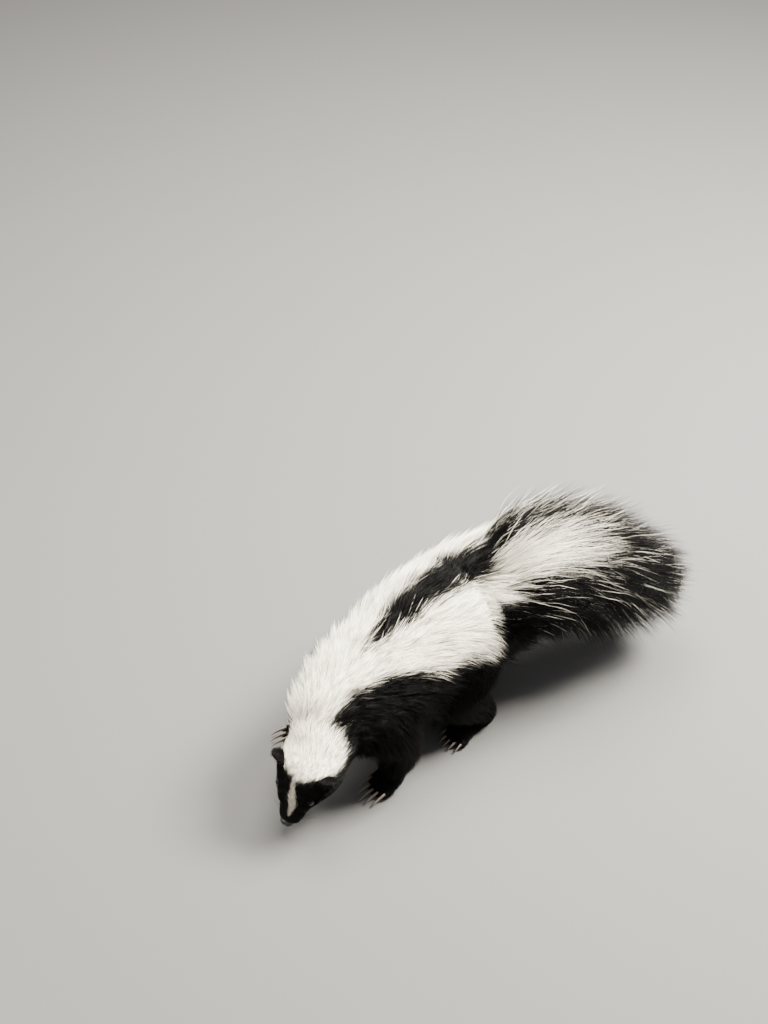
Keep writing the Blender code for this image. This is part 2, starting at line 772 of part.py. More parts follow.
def mouth_line(share):
    """A place on the mouth's line, the way out of the skin and the way along the line."""
    step = 0.01
    at, turn = mouth_station(share)
    ahead = HEAD_TUBE.point(*mouth_station(share + step))
    behind = HEAD_TUBE.point(*mouth_station(share - step))
    along = (ahead - behind).normalized()
    out = HEAD_TUBE.outward(at, turn) - BACK * max(0.0, MOUTH_FORWARD - abs(share) * 2)
    out = (out - along * out.dot(along)).normalized()
    return HEAD_TUBE.point(at, turn), out, along


def cut_mouth(head, cutters):
    """Raises the lips and cuts the closed mouth's line between them."""
    shares = [k / MOUTH_STEPS * 2 - 1 for k in range(MOUTH_STEPS + 1)]
    turns = [2 * math.pi * i / LIP_SIDES for i in range(LIP_SIDES)]
    lips, slot = [], []
    for share in shares:
        point, out, along = mouth_line(share)
        rise = along.cross(out)
        middle = point - out * LIP * LIP_SINK
        swell = LIP * (1 - LIP_THINNING * abs(share) ** 3)
        ways = [out * math.cos(turn) + rise * (math.sin(turn) * LIP_TALL) for turn in turns]
        lips.append([middle + way * swell for way in ways])
        inside, outside = point - out * MOUTH_DEPTH, point + out * MOUTH_DEPTH
        half = rise * MOUTH_GAP / 2
        slot.append([inside - half, inside + half, outside + half, outside - half])
    carve(head, lofted("lips", lips, cutters), "UNION")
    carve(head, lofted("slot", slot[1:-1], cutters))
    keep_largest(head)


def set_ear(head, side, name, parts, cutters):
    """A short round cup of an ear, open forwards and outwards, that stands on the head."""
    turn = math.radians(EAR_TURN) * side
    up = (UP * math.cos(turn) + LEFT * math.sin(turn) + BACK * EAR_LEAN).normalized()
    face = (-BACK + LEFT * side * EAR_OUTWARD).normalized()
    face = (face - up * face.dot(up)).normalized()
    axes = (up.cross(face), up, face)
    centre = head_point(EAR_BACK, math.sin(turn) * EAR_REACH, math.cos(turn) * EAR_REACH)
    ear = ball(name, centre, EAR_RADII, parts, axes, 14, 8)
    hollow = centre + face * EAR_HOLLOW_SHIFT + up * EAR_HOLLOW_RISE
    radii = (EAR_RADII[0] - EAR_WALL, EAR_RADII[1] - EAR_WALL, EAR_RADII[2])
    carve(ear, ball("hollow", hollow, radii, cutters, axes, 12, 8))
    carve(ear, swollen(head, GAP, cutters))
    keep_largest(ear)


def lock_place(tube, at, turn, reach, bend, share):
    """A place along a lock, whose root is sunk and whose tip lies at the coat's full depth.

    Reach is in stations and bend in radians, both from root to tip.
    """
    here = at + reach * share
    deep = tube.coat(here) * (1 - tube.core)
    height = -LOCK_ROOT + (deep + LOCK_ROOT) * share
    return tube.point(here, turn + bend * share * share, height)


def lock_width(tube, rows, at, reach):
    """How wide a row's locks are where they are widest, to cover their share of the row."""
    width, above, _ = tube.sizes(at + reach / 2)
    round_middle = (width + above) / 2 + tube.coat(at + reach / 2) * (1 - tube.core) / 2
    return rows["cover"] * 2 * math.radians(rows["turn"]) * round_middle / rows["count"]


def lock_mesh(tube, at, turn, reach, bend, width):
    """One flat lock that tapers to a point, as a bmesh."""
    rings = []
    for share, wide, thick in zip(LOCK_SHARES, LOCK_WIDTHS, LOCK_THICKNESS):
        middle = lock_place(tube, at, turn, reach, bend, share)
        along = lock_place(tube, at, turn, reach, bend, share + 0.05) - middle
        out = tube.outward(at + reach * share, turn + bend * share * share)
        side = along.cross(out).normalized() * (width * wide / 2)
        rise = side.cross(along).normalized() * (thick / 2)
        rings.append([middle + side, middle + rise, middle - side, middle - rise])
    bm = bmesh.new()
    loft(bm, rings, lock_place(tube, at, turn, reach, bend, 1.0))
    return bm


def is_clear(bm, neighbours):
    """Whether a lock stays off the floor and off its node's neighbours."""
    if min(v.co.z for v in bm.verts) < LOCK_FLOOR:
        return False
    tree = BVHTree.FromBMesh(bm)
    return not any(tree.overlap(other) for other in neighbours)


def scattered(draw, reach):
    """A number drawn evenly to both sides of nothing."""
    return draw.uniform(-reach, reach)


def grow_locks(tube, rows, neighbours, pieces):
    """Rows of locks along a tube, each bent a little its own way and shortened where it must be."""
    draw = random.Random(LOCK_SEED)
    for row in range(rows["rows"]):
        part_way = row / (rows["rows"] - 1)
        at = rows["first"] + (rows["last"] - rows["first"]) * part_way
        speed = (tube.centre(at + 0.5) - tube.centre(at - 0.5)).length
        for k in range(rows["count"]):
            spread = 2 * (k + ROW_SHIFT * (1 + 2 * (row % 2))) / rows["count"] - 1
            turn = math.radians(rows["turn"]) * spread + scattered(draw, LOCK_TURN_SCATTER)
            start = at + scattered(draw, LOCK_START_SCATTER)
            bend = scattered(draw, LOCK_BEND_SCATTER) + rows["droop"] * math.sin(turn)
            length = rows["length"] * (1 + scattered(draw, LOCK_LENGTH_SCATTER))
            furthest = tube.last - LOCK_END - start - draw.uniform(0.0, LOCK_END_SCATTER)
            for shorter in LOCK_SHORTER:
                reach = length * shorter / speed
                if tube is TAIL_TUBE:
                    reach = min(reach, furthest)
                width = lock_width(tube, rows, start, reach)
                bm = lock_mesh(tube, start, turn, reach, bend, width)
                if is_clear(bm, neighbours):
                    add_mesh("lock", bm, pieces)
                    break
                bm.free()


def surroundings(obj, parts, spare):
    """Search trees of all other parts, each swollen by the space that locks leave."""
    trees = []
    for other in list(parts.objects):
        if other is not obj:
            bigger = swollen(other, LOCK_SPACE, spare)
            bm = bmesh.new()
            bm.from_mesh(bigger.data)
            trees.append(BVHTree.FromBMesh(bm))
            bm.free()
            bpy.data.objects.remove(bigger)
    return trees


def part_colour(name):
    """Which finish a part has."""
    kind = name.split("_")[0]
    return COLOURS.get(kind, COLOURS["fur"])


def finish(obj):
    """Gives a part its own material and smooth shading."""
    colour, roughness = part_colour(obj.name)
    material = bpy.data.materials.new(obj.name)
    material.use_nodes = True
    shader = material.node_tree.nodes["Principled BSDF"]
    shader.inputs["Base Color"].default_value = (*colour, 1.0)
    shader.inputs["Roughness"].default_value = roughness
    shader.inputs["Metallic"].default_value = 0.0
    obj.data.materials.clear()
    obj.data.materials.append(material)
    obj.data.shade_smooth()
    obj.data.set_sharp_from_angle(angle=HARD_EDGE)


def stand_on_origin(parts):
    """Hangs every part from one empty and sets the middle of the whole over the origin."""
    stand = bpy.data.objects.new("skunk_stand", None)
    parts.objects.link(stand)
    solids = [obj for obj in parts.objects if obj.type == "MESH"]
    for axis in (0, 1):
        places = [v.co[axis] for obj in solids for v in obj.data.vertices]
        stand.location[axis] = -(min(places) + max(places)) / 2
    low = min(v.co.z for obj in solids for v in obj.data.vertices)
    stand.location.z = -low
    for obj in solids:
        obj.parent = stand


def main():
    """Builds the body whole, parts it and gives each part its details."""
    clear_scene()
    parts = new_collection("striped_skunk")
    flesh = new_collection("flesh")
    cutters = new_collection("cutters")
    shape_body(flesh)
    torso = whole_body(flesh, parts)
    made = {}
    for name, region in regions().items():
        made[name] = part_off(torso, name, region, parts, cutters)
    for name, paw in PAWS.items():
        claws(paw, flesh)
        fuse(made["paw_" + name], flesh)
    made["torso"] = torso
    for name, rows in LOCK_ROWS.items():
        tube = TAIL_TUBE if name == "tail" else TRUNK_TUBE
        grow_locks(tube, rows, surroundings(made[name], parts, cutters), flesh)
        fuse(made[name], flesh)
    head = made["head"]
    for side, word in ((1, "left"), (-1, "right")):
        set_ear(head, side, "ear_" + word, parts, cutters)
    for side, word in ((1, "left"), (-1, "right")):
        set_eye(head, side, "eye_" + word, parts, cutters)
    cut_mouth(head, cutters)
    set_nose(head, parts, cutters)
    stand_on_origin(parts)
    for obj in parts.objects:
        if obj.type == "MESH":
            finish(obj)
    for spare in (flesh, cutters):
        bpy.data.collections.remove(spare)


if __name__ == "__main__":
    main()
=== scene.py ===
"""Looks of a life-size striped skunk: one skin, a long parted coat, eyes, nose, ears and claws."""

import logging
import math
from dataclasses import dataclass
from enum import Enum

import bmesh
import bpy
import numpy as np
from mathutils import Matrix, Vector
from mathutils.bvhtree import BVHTree
from mathutils.kdtree import KDTree


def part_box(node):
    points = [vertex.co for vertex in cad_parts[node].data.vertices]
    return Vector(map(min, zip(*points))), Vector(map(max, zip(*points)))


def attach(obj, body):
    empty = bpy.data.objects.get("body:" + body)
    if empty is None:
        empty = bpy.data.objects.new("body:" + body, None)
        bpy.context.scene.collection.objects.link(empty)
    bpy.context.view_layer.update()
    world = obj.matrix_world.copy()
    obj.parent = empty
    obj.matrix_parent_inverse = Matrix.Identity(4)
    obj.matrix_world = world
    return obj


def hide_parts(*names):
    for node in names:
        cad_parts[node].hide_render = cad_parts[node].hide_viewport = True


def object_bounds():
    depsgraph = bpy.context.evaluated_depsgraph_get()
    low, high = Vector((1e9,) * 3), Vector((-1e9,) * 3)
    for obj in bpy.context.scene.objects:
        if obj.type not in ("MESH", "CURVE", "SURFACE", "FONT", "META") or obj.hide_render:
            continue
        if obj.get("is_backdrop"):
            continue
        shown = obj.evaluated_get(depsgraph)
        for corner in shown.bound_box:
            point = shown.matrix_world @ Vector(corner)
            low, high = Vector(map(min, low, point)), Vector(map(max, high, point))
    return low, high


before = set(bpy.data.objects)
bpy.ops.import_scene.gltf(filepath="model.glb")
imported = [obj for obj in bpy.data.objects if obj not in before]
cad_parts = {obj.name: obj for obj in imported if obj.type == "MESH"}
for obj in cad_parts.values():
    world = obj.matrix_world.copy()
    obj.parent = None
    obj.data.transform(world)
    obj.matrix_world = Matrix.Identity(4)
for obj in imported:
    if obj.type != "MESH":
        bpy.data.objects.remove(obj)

LOG = logging.getLogger("skunk")
SEED = 11
MM2_PER_M2 = 1e6

Array = np.ndarray
Object = bpy.types.Object
Material = bpy.types.Material
Pair = tuple[float, float]
Triple = tuple[float, float, float]
Colour = tuple[float, float, float, float]
Rows = tuple[tuple[float, ...], ...]


class Area(Enum):
    """A stretch of the coat that has its own lengths and lie."""

    HEAD = "head"
    TRUNK = "trunk"
    TAIL = "tail"
    FRONT_LEFT = "front_left"
    FRONT_RIGHT = "front_right"
    HIND_LEFT = "hind_left"
    HIND_RIGHT = "hind_right"


def metres(*values: float) -> tuple[float, ...]:
    """Values that are given in millimetres, in metres."""
    return tuple(value / 1000 for value in values)


def millimetres(*rows: tuple[float, ...]) -> Rows:
    """Rows that are given in millimetres, in metres."""
    return tuple(metres(*row) for row in rows)


@dataclass(frozen=True)
class BodyPlan:
    """Stations of the animal's tubes, before the body is centred over the origin.

    A station is the axis x, y and z, half width, height above, depth below and coat depth.
    """

    trunk: Rows = millimetres(
        (131, 56, 77, 12, 12, 12, 10),
        (124.5, 53, 80, 24, 24, 24, 14),
        (115, 48, 84, 29, 29, 29, 16),
        (97.5, 42, 88, 34, 34.5, 36, 17),
        (72, 35, 90, 41, 40, 48, 18),
        (40, 25.5, 92, 47, 43, 54, 20),
        (3, 16.5, 96.5, 50, 44, 59, 22),
        (-36, 8.5, 101.5, 52, 45.5, 61, 23),
        (-75, 4, 105, 50, 44, 58, 23),
        (-103, 5, 109, 39, 35, 43, 24),
        (-119, 8, 112, 18, 17, 22, 26),
    )
    tail: Rows = millimetres(
        (-100, 6, 118, 36, 34, 38, 26),
        (-128, 15, 129, 32, 32, 32, 45),
        (-164, 24, 131, 20, 20, 20, 64),
        (-200, 34, 124, 12, 12, 12, 73),
        (-232, 44, 112, 8.5, 8.5, 8.5, 69),
        (-260, 56, 98, 6, 6, 6, 58),
        (-285, 68, 85, 3, 3, 3, 42),
        (-310, 82, 71, 1, 1, 1, 16),
    )
    foreleg_left: Rows = millimetres(
        (72, 56, 90, 20, 25, 24, 12),
        (63, 71, 70, 17, 22, 20, 12),
        (56, 77.5, 50, 13, 15, 15, 11),
        (57.5, 80.5, 36, 11.5, 12.5, 12.5, 9),
        (64, 83, 23, 10, 10, 10, 6),
        (68, 84.5, 13, 11, 8, 8, 3),
    )
    foreleg_right: Rows = millimetres(
        (82, 10, 90, 20, 26, 24, 12),
        (70, -10, 70, 17, 22, 20, 12),
        (62, -18, 50, 13, 15, 15, 11),
        (77, -18, 36, 11.5, 12.5, 12.5, 9),
        (96, -16, 23, 10, 10, 10, 6),
        (107, -15, 13, 11, 8, 8, 3),
    )
    hindleg_left: Rows = millimetres(
        (-66, 32, 98, 24, 33, 32, 12),
        (-42, 52, 76, 19, 28, 27, 12),
        (-24, 62, 57, 15, 20, 20, 11),
        (-37, 68, 40, 12, 14, 14, 9),
        (-53, 72, 24, 9.5, 10.5, 11, 6),
        (-55, 73, 12, 10, 9, 11, 3),
    )
    hindleg_right: Rows = millimetres(
        (-80, -30, 98, 24, 34, 33, 12),
        (-61, -51, 76, 19, 29, 27, 12),
        (-45, -60, 57, 15, 20, 20, 11),
        (-60, -64, 40, 12, 14, 14, 9),
        (-77, -66, 24, 9.5, 10.5, 11, 6),
        (-79, -66.5, 12, 10, 9, 11, 3),
    )
    head: Rows = millimetres(
        (2, 0.5, 5, 4.5, 4.5, 0.4),
        (7, 0.5, 9, 8, 8, 1),
        (16, 0.5, 11.5, 11, 10, 2),
        (26, 1, 14.5, 15, 12.5, 2.8),
        (36, 1.5, 20, 20.5, 15, 3.8),
        (48, 1.5, 25, 25, 17.5, 6.2),
        (60, 1, 27.5, 26.5, 20, 8.5),
        (72, 0, 26.5, 25.5, 22, 10),
        (84, -2, 24.5, 22.5, 24, 11),
        (98, -6, 23, 19, 24, 11),
        (112, -12, 17, 13, 18, 10),
    )
    nose_tip: Triple = (0.1855, 0.0776, 0.0120)
    head_yaw: float = 20.0
    head_pitch: float = 48.0
    head_roll: float = -12.0


PLAN = BodyPlan()


def unit(vectors: Array) -> Array:
    """Rows scaled to length one."""
    length = np.linalg.norm(vectors, axis=-1, keepdims=True)
    return vectors / np.maximum(length, 1e-12)


def ease(low: float, high: float, value: Array) -> Array:
    """A soft step from 0 at low to 1 at high."""
    share = np.clip((value - low) / (high - low), 0.0, 1.0)
    return share * share * (3.0 - 2.0 * share)


def circle(count: int) -> Array:
    """Angles once round, in radians."""
    return np.arange(count) * 2 * math.pi / count


def dot(first: Array, second: Array) -> Array:
    """Scalar products of rows, kept as a column."""
    return np.sum(first * second, axis=-1, keepdims=True)


def curve_row(rows: Rows, at: float) -> Array:
    """The row at a fractional station, on one smooth curve through all rows.

    Args:
        rows: the table of stations.
        at: the station, from 0 to the last row's number.

    Returns:
        The values of that row.
    """
    table = np.array(rows)
    last = len(rows) - 1
    i = min(int(at), last - 1)
    t = at - i
    p1, p2 = table[i], table[i + 1]
    p0 = table[i - 1] if i else 2 * p1 - p2
    p3 = table[i + 2] if i + 2 <= last else 2 * p2 - p1
    bend = 2 * p0 - 5 * p1 + 4 * p2 - p3 + t * (3 * (p1 - p2) + p3 - p0)
    return p1 + 0.5 * t * (p2 - p0 + t * bend)


def linked(name: str, data: bpy.types.ID) -> Object:
    """A new object in the scene.

    Args:
        name: its name.
        data: its mesh, camera or lamp.

    Returns:
        The object.
    """
    obj = bpy.data.objects.new(name, data)
    bpy.context.scene.collection.objects.link(obj)
    return obj


@dataclass
class Axes:
    """Three directions at right angles, as rows."""

    along: Array
    left: Array
    up: Array


def head_axes(plan: BodyPlan) -> Axes:
    """Back, left and up of the head.

    Args:
        plan: the body's measures.

    Returns:
        The head's axes, of which the first points back from the nose.
    """
    yaw = math.radians(plan.head_yaw)
    pitch = math.radians(plan.head_pitch)
    level = math.cos(pitch)
    forward = Vector((math.cos(yaw) * level, math.sin(yaw) * level, -math.sin(pitch)))
    left = Vector((0, 0, 1)).cross(forward).normalized()
    up = forward.cross(left)
    roll = Matrix.Rotation(math.radians(plan.head_roll), 3, forward)
    return Axes(-np.array(forward), np.array(roll @ left), np.array(roll @ up))


HEAD_AXES = head_axes(PLAN)


def head_point(back: float, left: float, up: float) -> Array:
    """A place given along the head's own axes from the tip of the nose."""
    tip = np.array(PLAN.nose_tip)
    return tip + HEAD_AXES.along * back + HEAD_AXES.left * left + HEAD_AXES.up * up


@dataclass
class Tube:
    """A soft tube along stations, with the skin on its surface and the coat over it.

    Angles are in radians from the top, 0, over the left side to the underside. Where a point
    lies is found in batches, as the sample nearest along the tube, with a cost for each share
    outside it and some slack before and behind it.
    """

    area: Area
    rows: Rows
    side: Array | None = None
    axes: Axes | None = None
    hints: tuple | None = None
    per_station: int = 10
    batch: int = 20000
    outside_cost: float = 0.02
    slack: float = 0.002

    def __post_init__(self) -> None:
        """Samples the tube along its length."""
        self.last = len(self.rows) - 1
        self.stations = np.linspace(0, self.last, self.last * self.per_station + 1)
        table = np.array([curve_row(self.rows, at) for at in self.stations])
        self.centre = table[:, :3]
        self.sizes = table[:, 3:7]
        steps = np.linalg.norm(np.diff(self.centre, axis=0), axis=1)
        self.arc = np.concatenate([[0.0], np.cumsum(steps)])
        self.pace = self.arc[-1] - self.arc[-1 - self.per_station]
        if self.axes:
            self.along = np.tile(self.axes.along, (len(table), 1))
            self.left = np.tile(self.axes.left, (len(table), 1))
            self.up = np.tile(self.axes.up, (len(table), 1))
            return
        self.along = unit(np.gradient(self.centre, axis=0))
        if self.hints:
            self.left = self.hinted()
        elif self.side is None:
            self.left = unit(np.cross(self.along, (0.0, 0.0, 1.0)))
        else:
            self.left = unit(self.side - self.along * dot(self.along, self.side))
        self.up = np.cross(self.left, self.along)

    def hinted(self) -> Array:
        """Directions to the left that turn softly between those given for the stations.

        Returns:
            One direction a sample.
        """
        level = unit(np.cross(self.along, (0.0, 0.0, 1.0)))
        marks = level[:: self.per_station].copy()
        for k, hint in enumerate(self.hints):
            if hint is not None:
                marks[k] = hint
        shares = np.arange(self.last + 1)
        left = np.column_stack([np.interp(self.stations, shares, marks[:, k]) for k in range(3)])
        return unit(left - self.along * dot(left, self.along))

    def blend(self, table: Array, at: Array) -> Array:
        """Values of a sampled table at fractional stations.

        Args:
            table: one row a sample of the tube.
            at: stations.

        Returns:
            One row a station.
        """
        place = np.clip(at, 0, self.last) * self.per_station
        low = np.minimum(place.astype(int), len(table) - 2)
        share = (place - low)[:, None]
        return table[low] * (1 - share) + table[low + 1] * share

    def coat(self, at: Array) -> Array:
        """How deep the coat is at stations."""
        return self.blend(self.sizes, at)[:, 3]

    def locate(self, points: Array) -> tuple[Array, Array, Array]:
        """Where points lie on the tube.

        Args:
            points: places in the plan's axes.

        Returns:
            Station, angle and distance from the surface of each point.
        """
        at, turn, away = np.empty((3, len(points)))
        for start in range(0, len(points), self.batch):
            part = slice(start, start + self.batch)
            near = points[part, None, :] - self.centre[None]
            ahead = np.einsum("nsk,sk->ns", near, self.along)
            across = np.einsum("nsk,sk->ns", near, self.left)
            above = np.einsum("nsk,sk->ns", near, self.up)
            tall = np.where(above > 0, self.sizes[:, 1], self.sizes[:, 2])
            share = np.hypot(across / self.sizes[:, 0], above / tall)
            radius = (self.sizes[:, 0] + tall) / 2
            cost = np.abs(ahead) + np.maximum(share - 1, 0) * self.outside_cost
            best = np.argmin(cost, axis=1)
            rows = np.arange(len(best))
            at[part] = self.stations[best]
            sideways, upward = across / self.sizes[:, 0], above / tall
            turn[part] = np.arctan2(sideways[rows, best], upward[rows, best])
            off = np.maximum(np.abs(ahead[rows, best]) - self.slack, 0)
            away[part] = ((share - 1) * radius)[rows, best] + off
        return at, turn, away

    def points(self, at: Array, turn: Array, height: Array, widest: Array | None = None) -> Array:
        """Places over the tube.

        Args:
            at: stations, which may lie beyond the last.
            turn: angles.
            height: heights over the skin.
            widest: half widths, heights and depths that a place at least keeps.

        Returns:
            One place a station.
        """
        size = self.blend(self.sizes, at)[:, :3]
        if widest is not None:
            size = np.maximum(size, widest)
        up = np.cos(turn)
        tall = np.where(up > 0, size[:, 1], size[:, 2])
        here = self.blend(self.centre, at)
        beyond = np.maximum(at - self.last, 0)
        here = here + self.along[-1] * (beyond * self.pace)[:, None]
        across = ((size[:, 0] + height) * np.sin(turn))[:, None]
        above = ((tall + height) * up)[:, None]
        left = self.blend(self.left, at)
        return here + left * across + self.blend(self.up, at) * above

    def outward(self, at: Array, turn: Array, height: float = 0.0,
                probe: float = 0.01) -> tuple[Array, Array]:
        """A place over the tube and the direction out of it there, towards a second place."""
        root = self.points(at, turn, np.full(1, height))[0]
        return root, unit(self.points(at, turn, np.full(1, probe))[0] - root)

    def onward(self, at: Array, distance: Array) -> Array:
        """Stations reached from others after a distance along the tube.

        Args:
            at: stations to start from.
            distance: metres towards the tube's end.

        Returns:
            The stations reached, which may lie beyond the last.
        """
        start = np.interp(at, self.stations, self.arc)
        beyond = np.maximum(at - self.last, 0)
        reached = start + beyond * self.pace + distance
        inside = np.interp(reached, self.arc, self.stations)
        return inside + np.maximum(reached - self.arc[-1], 0) / self.pace

    def between(self, at: Array, end: Array) -> Array:
        """Distances along the tube from stations to others."""
        return np.interp(end, self.stations, self.arc) - np.interp(at, self.stations, self.arc)

    def rings(self, around: int, steps: int) -> list[Array]:
        """Rings of points on the skin, for a loft.

        Args:
            around: points in a ring.
            steps: rings to a station.

        Returns:
            The rings, from the first station to the last.
        """
        turns = circle(around)
        made = []
        for at in np.linspace(0, self.last, self.last * steps + 1):
            same = np.full(around, at)
            made.append(self.points(same, turns, np.zeros(around)))
        return made


class MeshKit:
    """Makes mesh objects out of arrays."""

    @staticmethod
    def made(name: str, verts: Array, faces: list[tuple[int, ...]]) -> Object:
        """A smooth mesh object in the scene.

        Args:
            name: the object's name.
            verts: one place a row.
            faces: vertex numbers of each face.

        Returns:
            The object.
        """
        mesh = bpy.data.meshes.new(name)
        mesh.from_pydata([tuple(v) for v in verts], [], faces)
        mesh.shade_smooth()
        return linked(name, mesh)

    @staticmethod
    def face_outward(obj: Object) -> None:
        """Turns every face of a closed mesh outward.

        Args:
            obj: the mesh's object.
        """
        bm = bmesh.new()
        bm.from_mesh(obj.data)
        bmesh.ops.recalc_face_normals(bm, faces=bm.faces)
        bm.to_mesh(obj.data)
        bm.free()

    @staticmethod
    def lofted(name: str, rings: list[Array], tip: Array | None = None,
               start: Array | None = None) -> Object:
        """Rings joined into one closed skin.

        Args:
            name: the object's name.
            rings: arrays of the same number of points.
            tip: where the last ring is drawn together, or None for its middle.
            start: where the first ring is drawn together, or None for its middle.

        Returns:
            The object.
        """
        count = len(rings[0])
        first = rings[0].mean(axis=0) if start is None else start
        last = rings[-1].mean(axis=0) if tip is None else tip
        verts = np.concatenate([*rings, np.array([first, last])])
        faces = []
        for k in range(len(rings) - 1):
            for i in range(count):
                j = (i + 1) % count
                low, high = k * count, (k + 1) * count
                faces.append((low + i, low + j, high + j, high + i))
        top = (len(rings) - 1) * count
        for i in range(count):
            j = (i + 1) % count
            faces.append((j, i, len(verts) - 2))
            faces.append((top + i, top + j, len(verts) - 1))
        obj = MeshKit.made(name, verts, faces)
        MeshKit.face_outward(obj)
        return obj

    @staticmethod
    def ball(name: str, centre: Array, radii: Triple, axes: Axes,
             segments: int = 24, rings: int = 16) -> Object:
        """An ellipsoid along three axes.

        Args:
            name: the object's name.
            centre: its middle.
            radii: along, left and up.
            axes: the directions of the radii.
            segments: faces round it.
            rings: faces from pole to pole.

        Returns:
            The object.
        """
        turns = circle(segments)
        loops = []
        for k in range(1, rings):
            high = math.pi * k / rings
            flat = math.sin(high)
            loops.append(
                centre
                - axes.along * (radii[0] * math.cos(high))
                + np.outer(np.cos(turns) * flat * radii[1], axes.left)
                + np.outer(np.sin(turns) * flat * radii[2], axes.up)
            )
        reach = axes.along * radii[0]
        return MeshKit.lofted(name, loops, centre + reach, centre - reach)

    @staticmethod
    def settle(obj: Object) -> None:
        """Makes an object's modifiers part of its mesh.

        Args:
            obj: the object, which has no modifiers afterwards.
        """
        graph = bpy.context.evaluated_depsgraph_get()
        mesh = bpy.data.meshes.new_from_object(obj.evaluated_get(graph))
        obj.modifiers.clear()
        obj.data = mesh

    @staticmethod
    def places(obj: Object) -> Array:
        """Where the mesh's vertices lie.

        Args:
            obj: the mesh's object.

        Returns:
            One place a row.
        """
        found = np.empty(len(obj.data.vertices) * 3)
        obj.data.vertices.foreach_get("co", found)
        return found.reshape(-1, 3)

    @staticmethod
    def put_places(obj: Object, places: Array) -> None:
        """Moves the mesh's vertices to new places."""
        obj.data.vertices.foreach_set("co", places.astype(np.float32).ravel())
        obj.data.update()

    @staticmethod
    def shift(obj: Object, by: Array) -> None:
        """Moves a mesh within its object."""
        MeshKit.put_places(obj, MeshKit.places(obj) + by)

    @staticmethod
    def mark(obj: Object, name: str, values: Array) -> None:
        """Stores one number a vertex."""
        layer = obj.data.attributes.new(name, "FLOAT", "POINT")
        layer.data.foreach_set("value", values.astype(np.float32))


class Socket:
    """An output socket that grows a node for each sign of an expression."""

    def __init__(self, graph: "Nodes", output: bpy.types.NodeSocket) -> None:
        """Wraps an output of a node."""
        self.graph = graph
        self.output = output

    def maths(self, operation: str, first: "Socket | float", second: "Socket | float") -> "Socket":
        """The result of a Math node on two values."""
        inputs = {0: first, 1: second}
        return self.graph.value("ShaderNodeMath", {"operation": operation}, inputs)

    def __add__(self, other: "Socket | float") -> "Socket":
        """Sum."""
        return self.maths("ADD", self, other)

    def __radd__(self, other: float) -> "Socket":
        """Sum."""
        return self.maths("ADD", other, self)

    def __sub__(self, other: "Socket | float") -> "Socket":
        """Difference."""
        return self.maths("SUBTRACT", self, other)

    def __rsub__(self, other: float) -> "Socket":
        """Difference from a number."""
        return self.maths("SUBTRACT", other, self)

    def __mul__(self, other: "Socket | float") -> "Socket":
        """Product."""
        return self.maths("MULTIPLY", self, other)

    def __rmul__(self, other: float) -> "Socket":
        """Product."""
        return self.maths("MULTIPLY", other, self)

    def __pow__(self, other: "Socket | float") -> "Socket":
        """Power."""
        return self.maths("POWER", self, other)

    def between(self, low: float, high: float) -> "Socket":
        """A soft step from 0 at low to 1 at high."""
        settings = {"interpolation_type": "SMOOTHSTEP"}
        return self.graph.value("ShaderNodeMapRange", settings, {0: self, 1: low, 2: high})


class Nodes:
    """A node tree, made in order from values to its output."""

    def __init__(self, tree: bpy.types.NodeTree) -> None:
        """Wraps a tree."""
        self.tree = tree

    def node(self, kind: str, settings: dict, inputs: dict) -> bpy.types.Node:
        """Any node.

        Args:
            kind: the node's type.
            settings: properties, set first.
            inputs: values or sockets by the input's name or number.

        Returns:
            The node.
        """
        node = self.tree.nodes.new(kind)
        for key, value in settings.items():
            setattr(node, key, value)
        for key, value in inputs.items():
            self.feed(node.inputs[key], value)
        return node

    def feed(self, target: bpy.types.NodeSocket, value: "Socket | float | tuple") -> None:
        """Links a socket to an input, or sets the input's own value.

        Args:
            target: the input.
            value: a socket or a constant.
        """
        if isinstance(value, Socket):
            self.tree.links.new(value.output, target)
        else:
            target.default_value = value

    def value(self, kind: str, settings: dict, inputs: dict, output: str | int = 0) -> Socket:
        """One output of a new node, by its name or number."""
        return Socket(self, self.node(kind, settings, inputs).outputs[output])


class Graph(Nodes):
    """A material's nodes, with its shader."""

    def __init__(self, name: str) -> None:
        """Starts a material with a shader and an output.

        Args:
            name: the material's name.
        """
        self.material = bpy.data.materials.new(name)
        self.material.use_nodes = True
        super().__init__(self.material.node_tree)
        self.shader = self.tree.nodes["Principled BSDF"]

    def attribute(self, name: str) -> Socket:
        """A number stored on the mesh."""
        return self.value("ShaderNodeAttribute", {"attribute_name": name}, {}, "Fac")

    def places(self) -> Socket:
        """The object's own coordinates."""
        return self.value("ShaderNodeTexCoord", {}, {}, "Object")

    def noise(self, scale: float, detail: float = 3.0) -> Socket:
        """Soft noise in the object's own coordinates, about 0.5."""
        inputs = {"Vector": self.places(), "Scale": scale, "Detail": detail}
        return self.value("ShaderNodeTexNoise", {}, inputs, "Fac")

    def mixed(self, share: Socket, first: "Socket | tuple", second: "Socket | tuple") -> Socket:
        """A colour between two, with a share of the second."""
        inputs = {0: share, 6: first, 7: second}
        return self.value("ShaderNodeMix", {"data_type": "RGBA"}, inputs, 2)

    def scaled(self, colour: Socket, by: Socket) -> Socket:
        """A colour made lighter or darker by a factor."""
        inputs = {0: colour, "Scale": by}
        return self.value("ShaderNodeVectorMath", {"operation": "SCALE"}, inputs)

    def bumped(self, height: Socket, strength: float, distance: float) -> Socket:
        """A normal that follows a height."""
        inputs = {"Height": height, "Strength": strength, "Distance": distance}
        return self.value("ShaderNodeBump", {}, inputs, "Normal")

    def finish(self, values: dict[str, "Socket | float | tuple"]) -> Material:
        """Feeds the shader.

        Args:
            values: sockets or constants by the shader's input.

        Returns:
            The material.
        """
        for key, value in values.items():
            self.feed(self.shader.inputs[key], value)
        return self.material


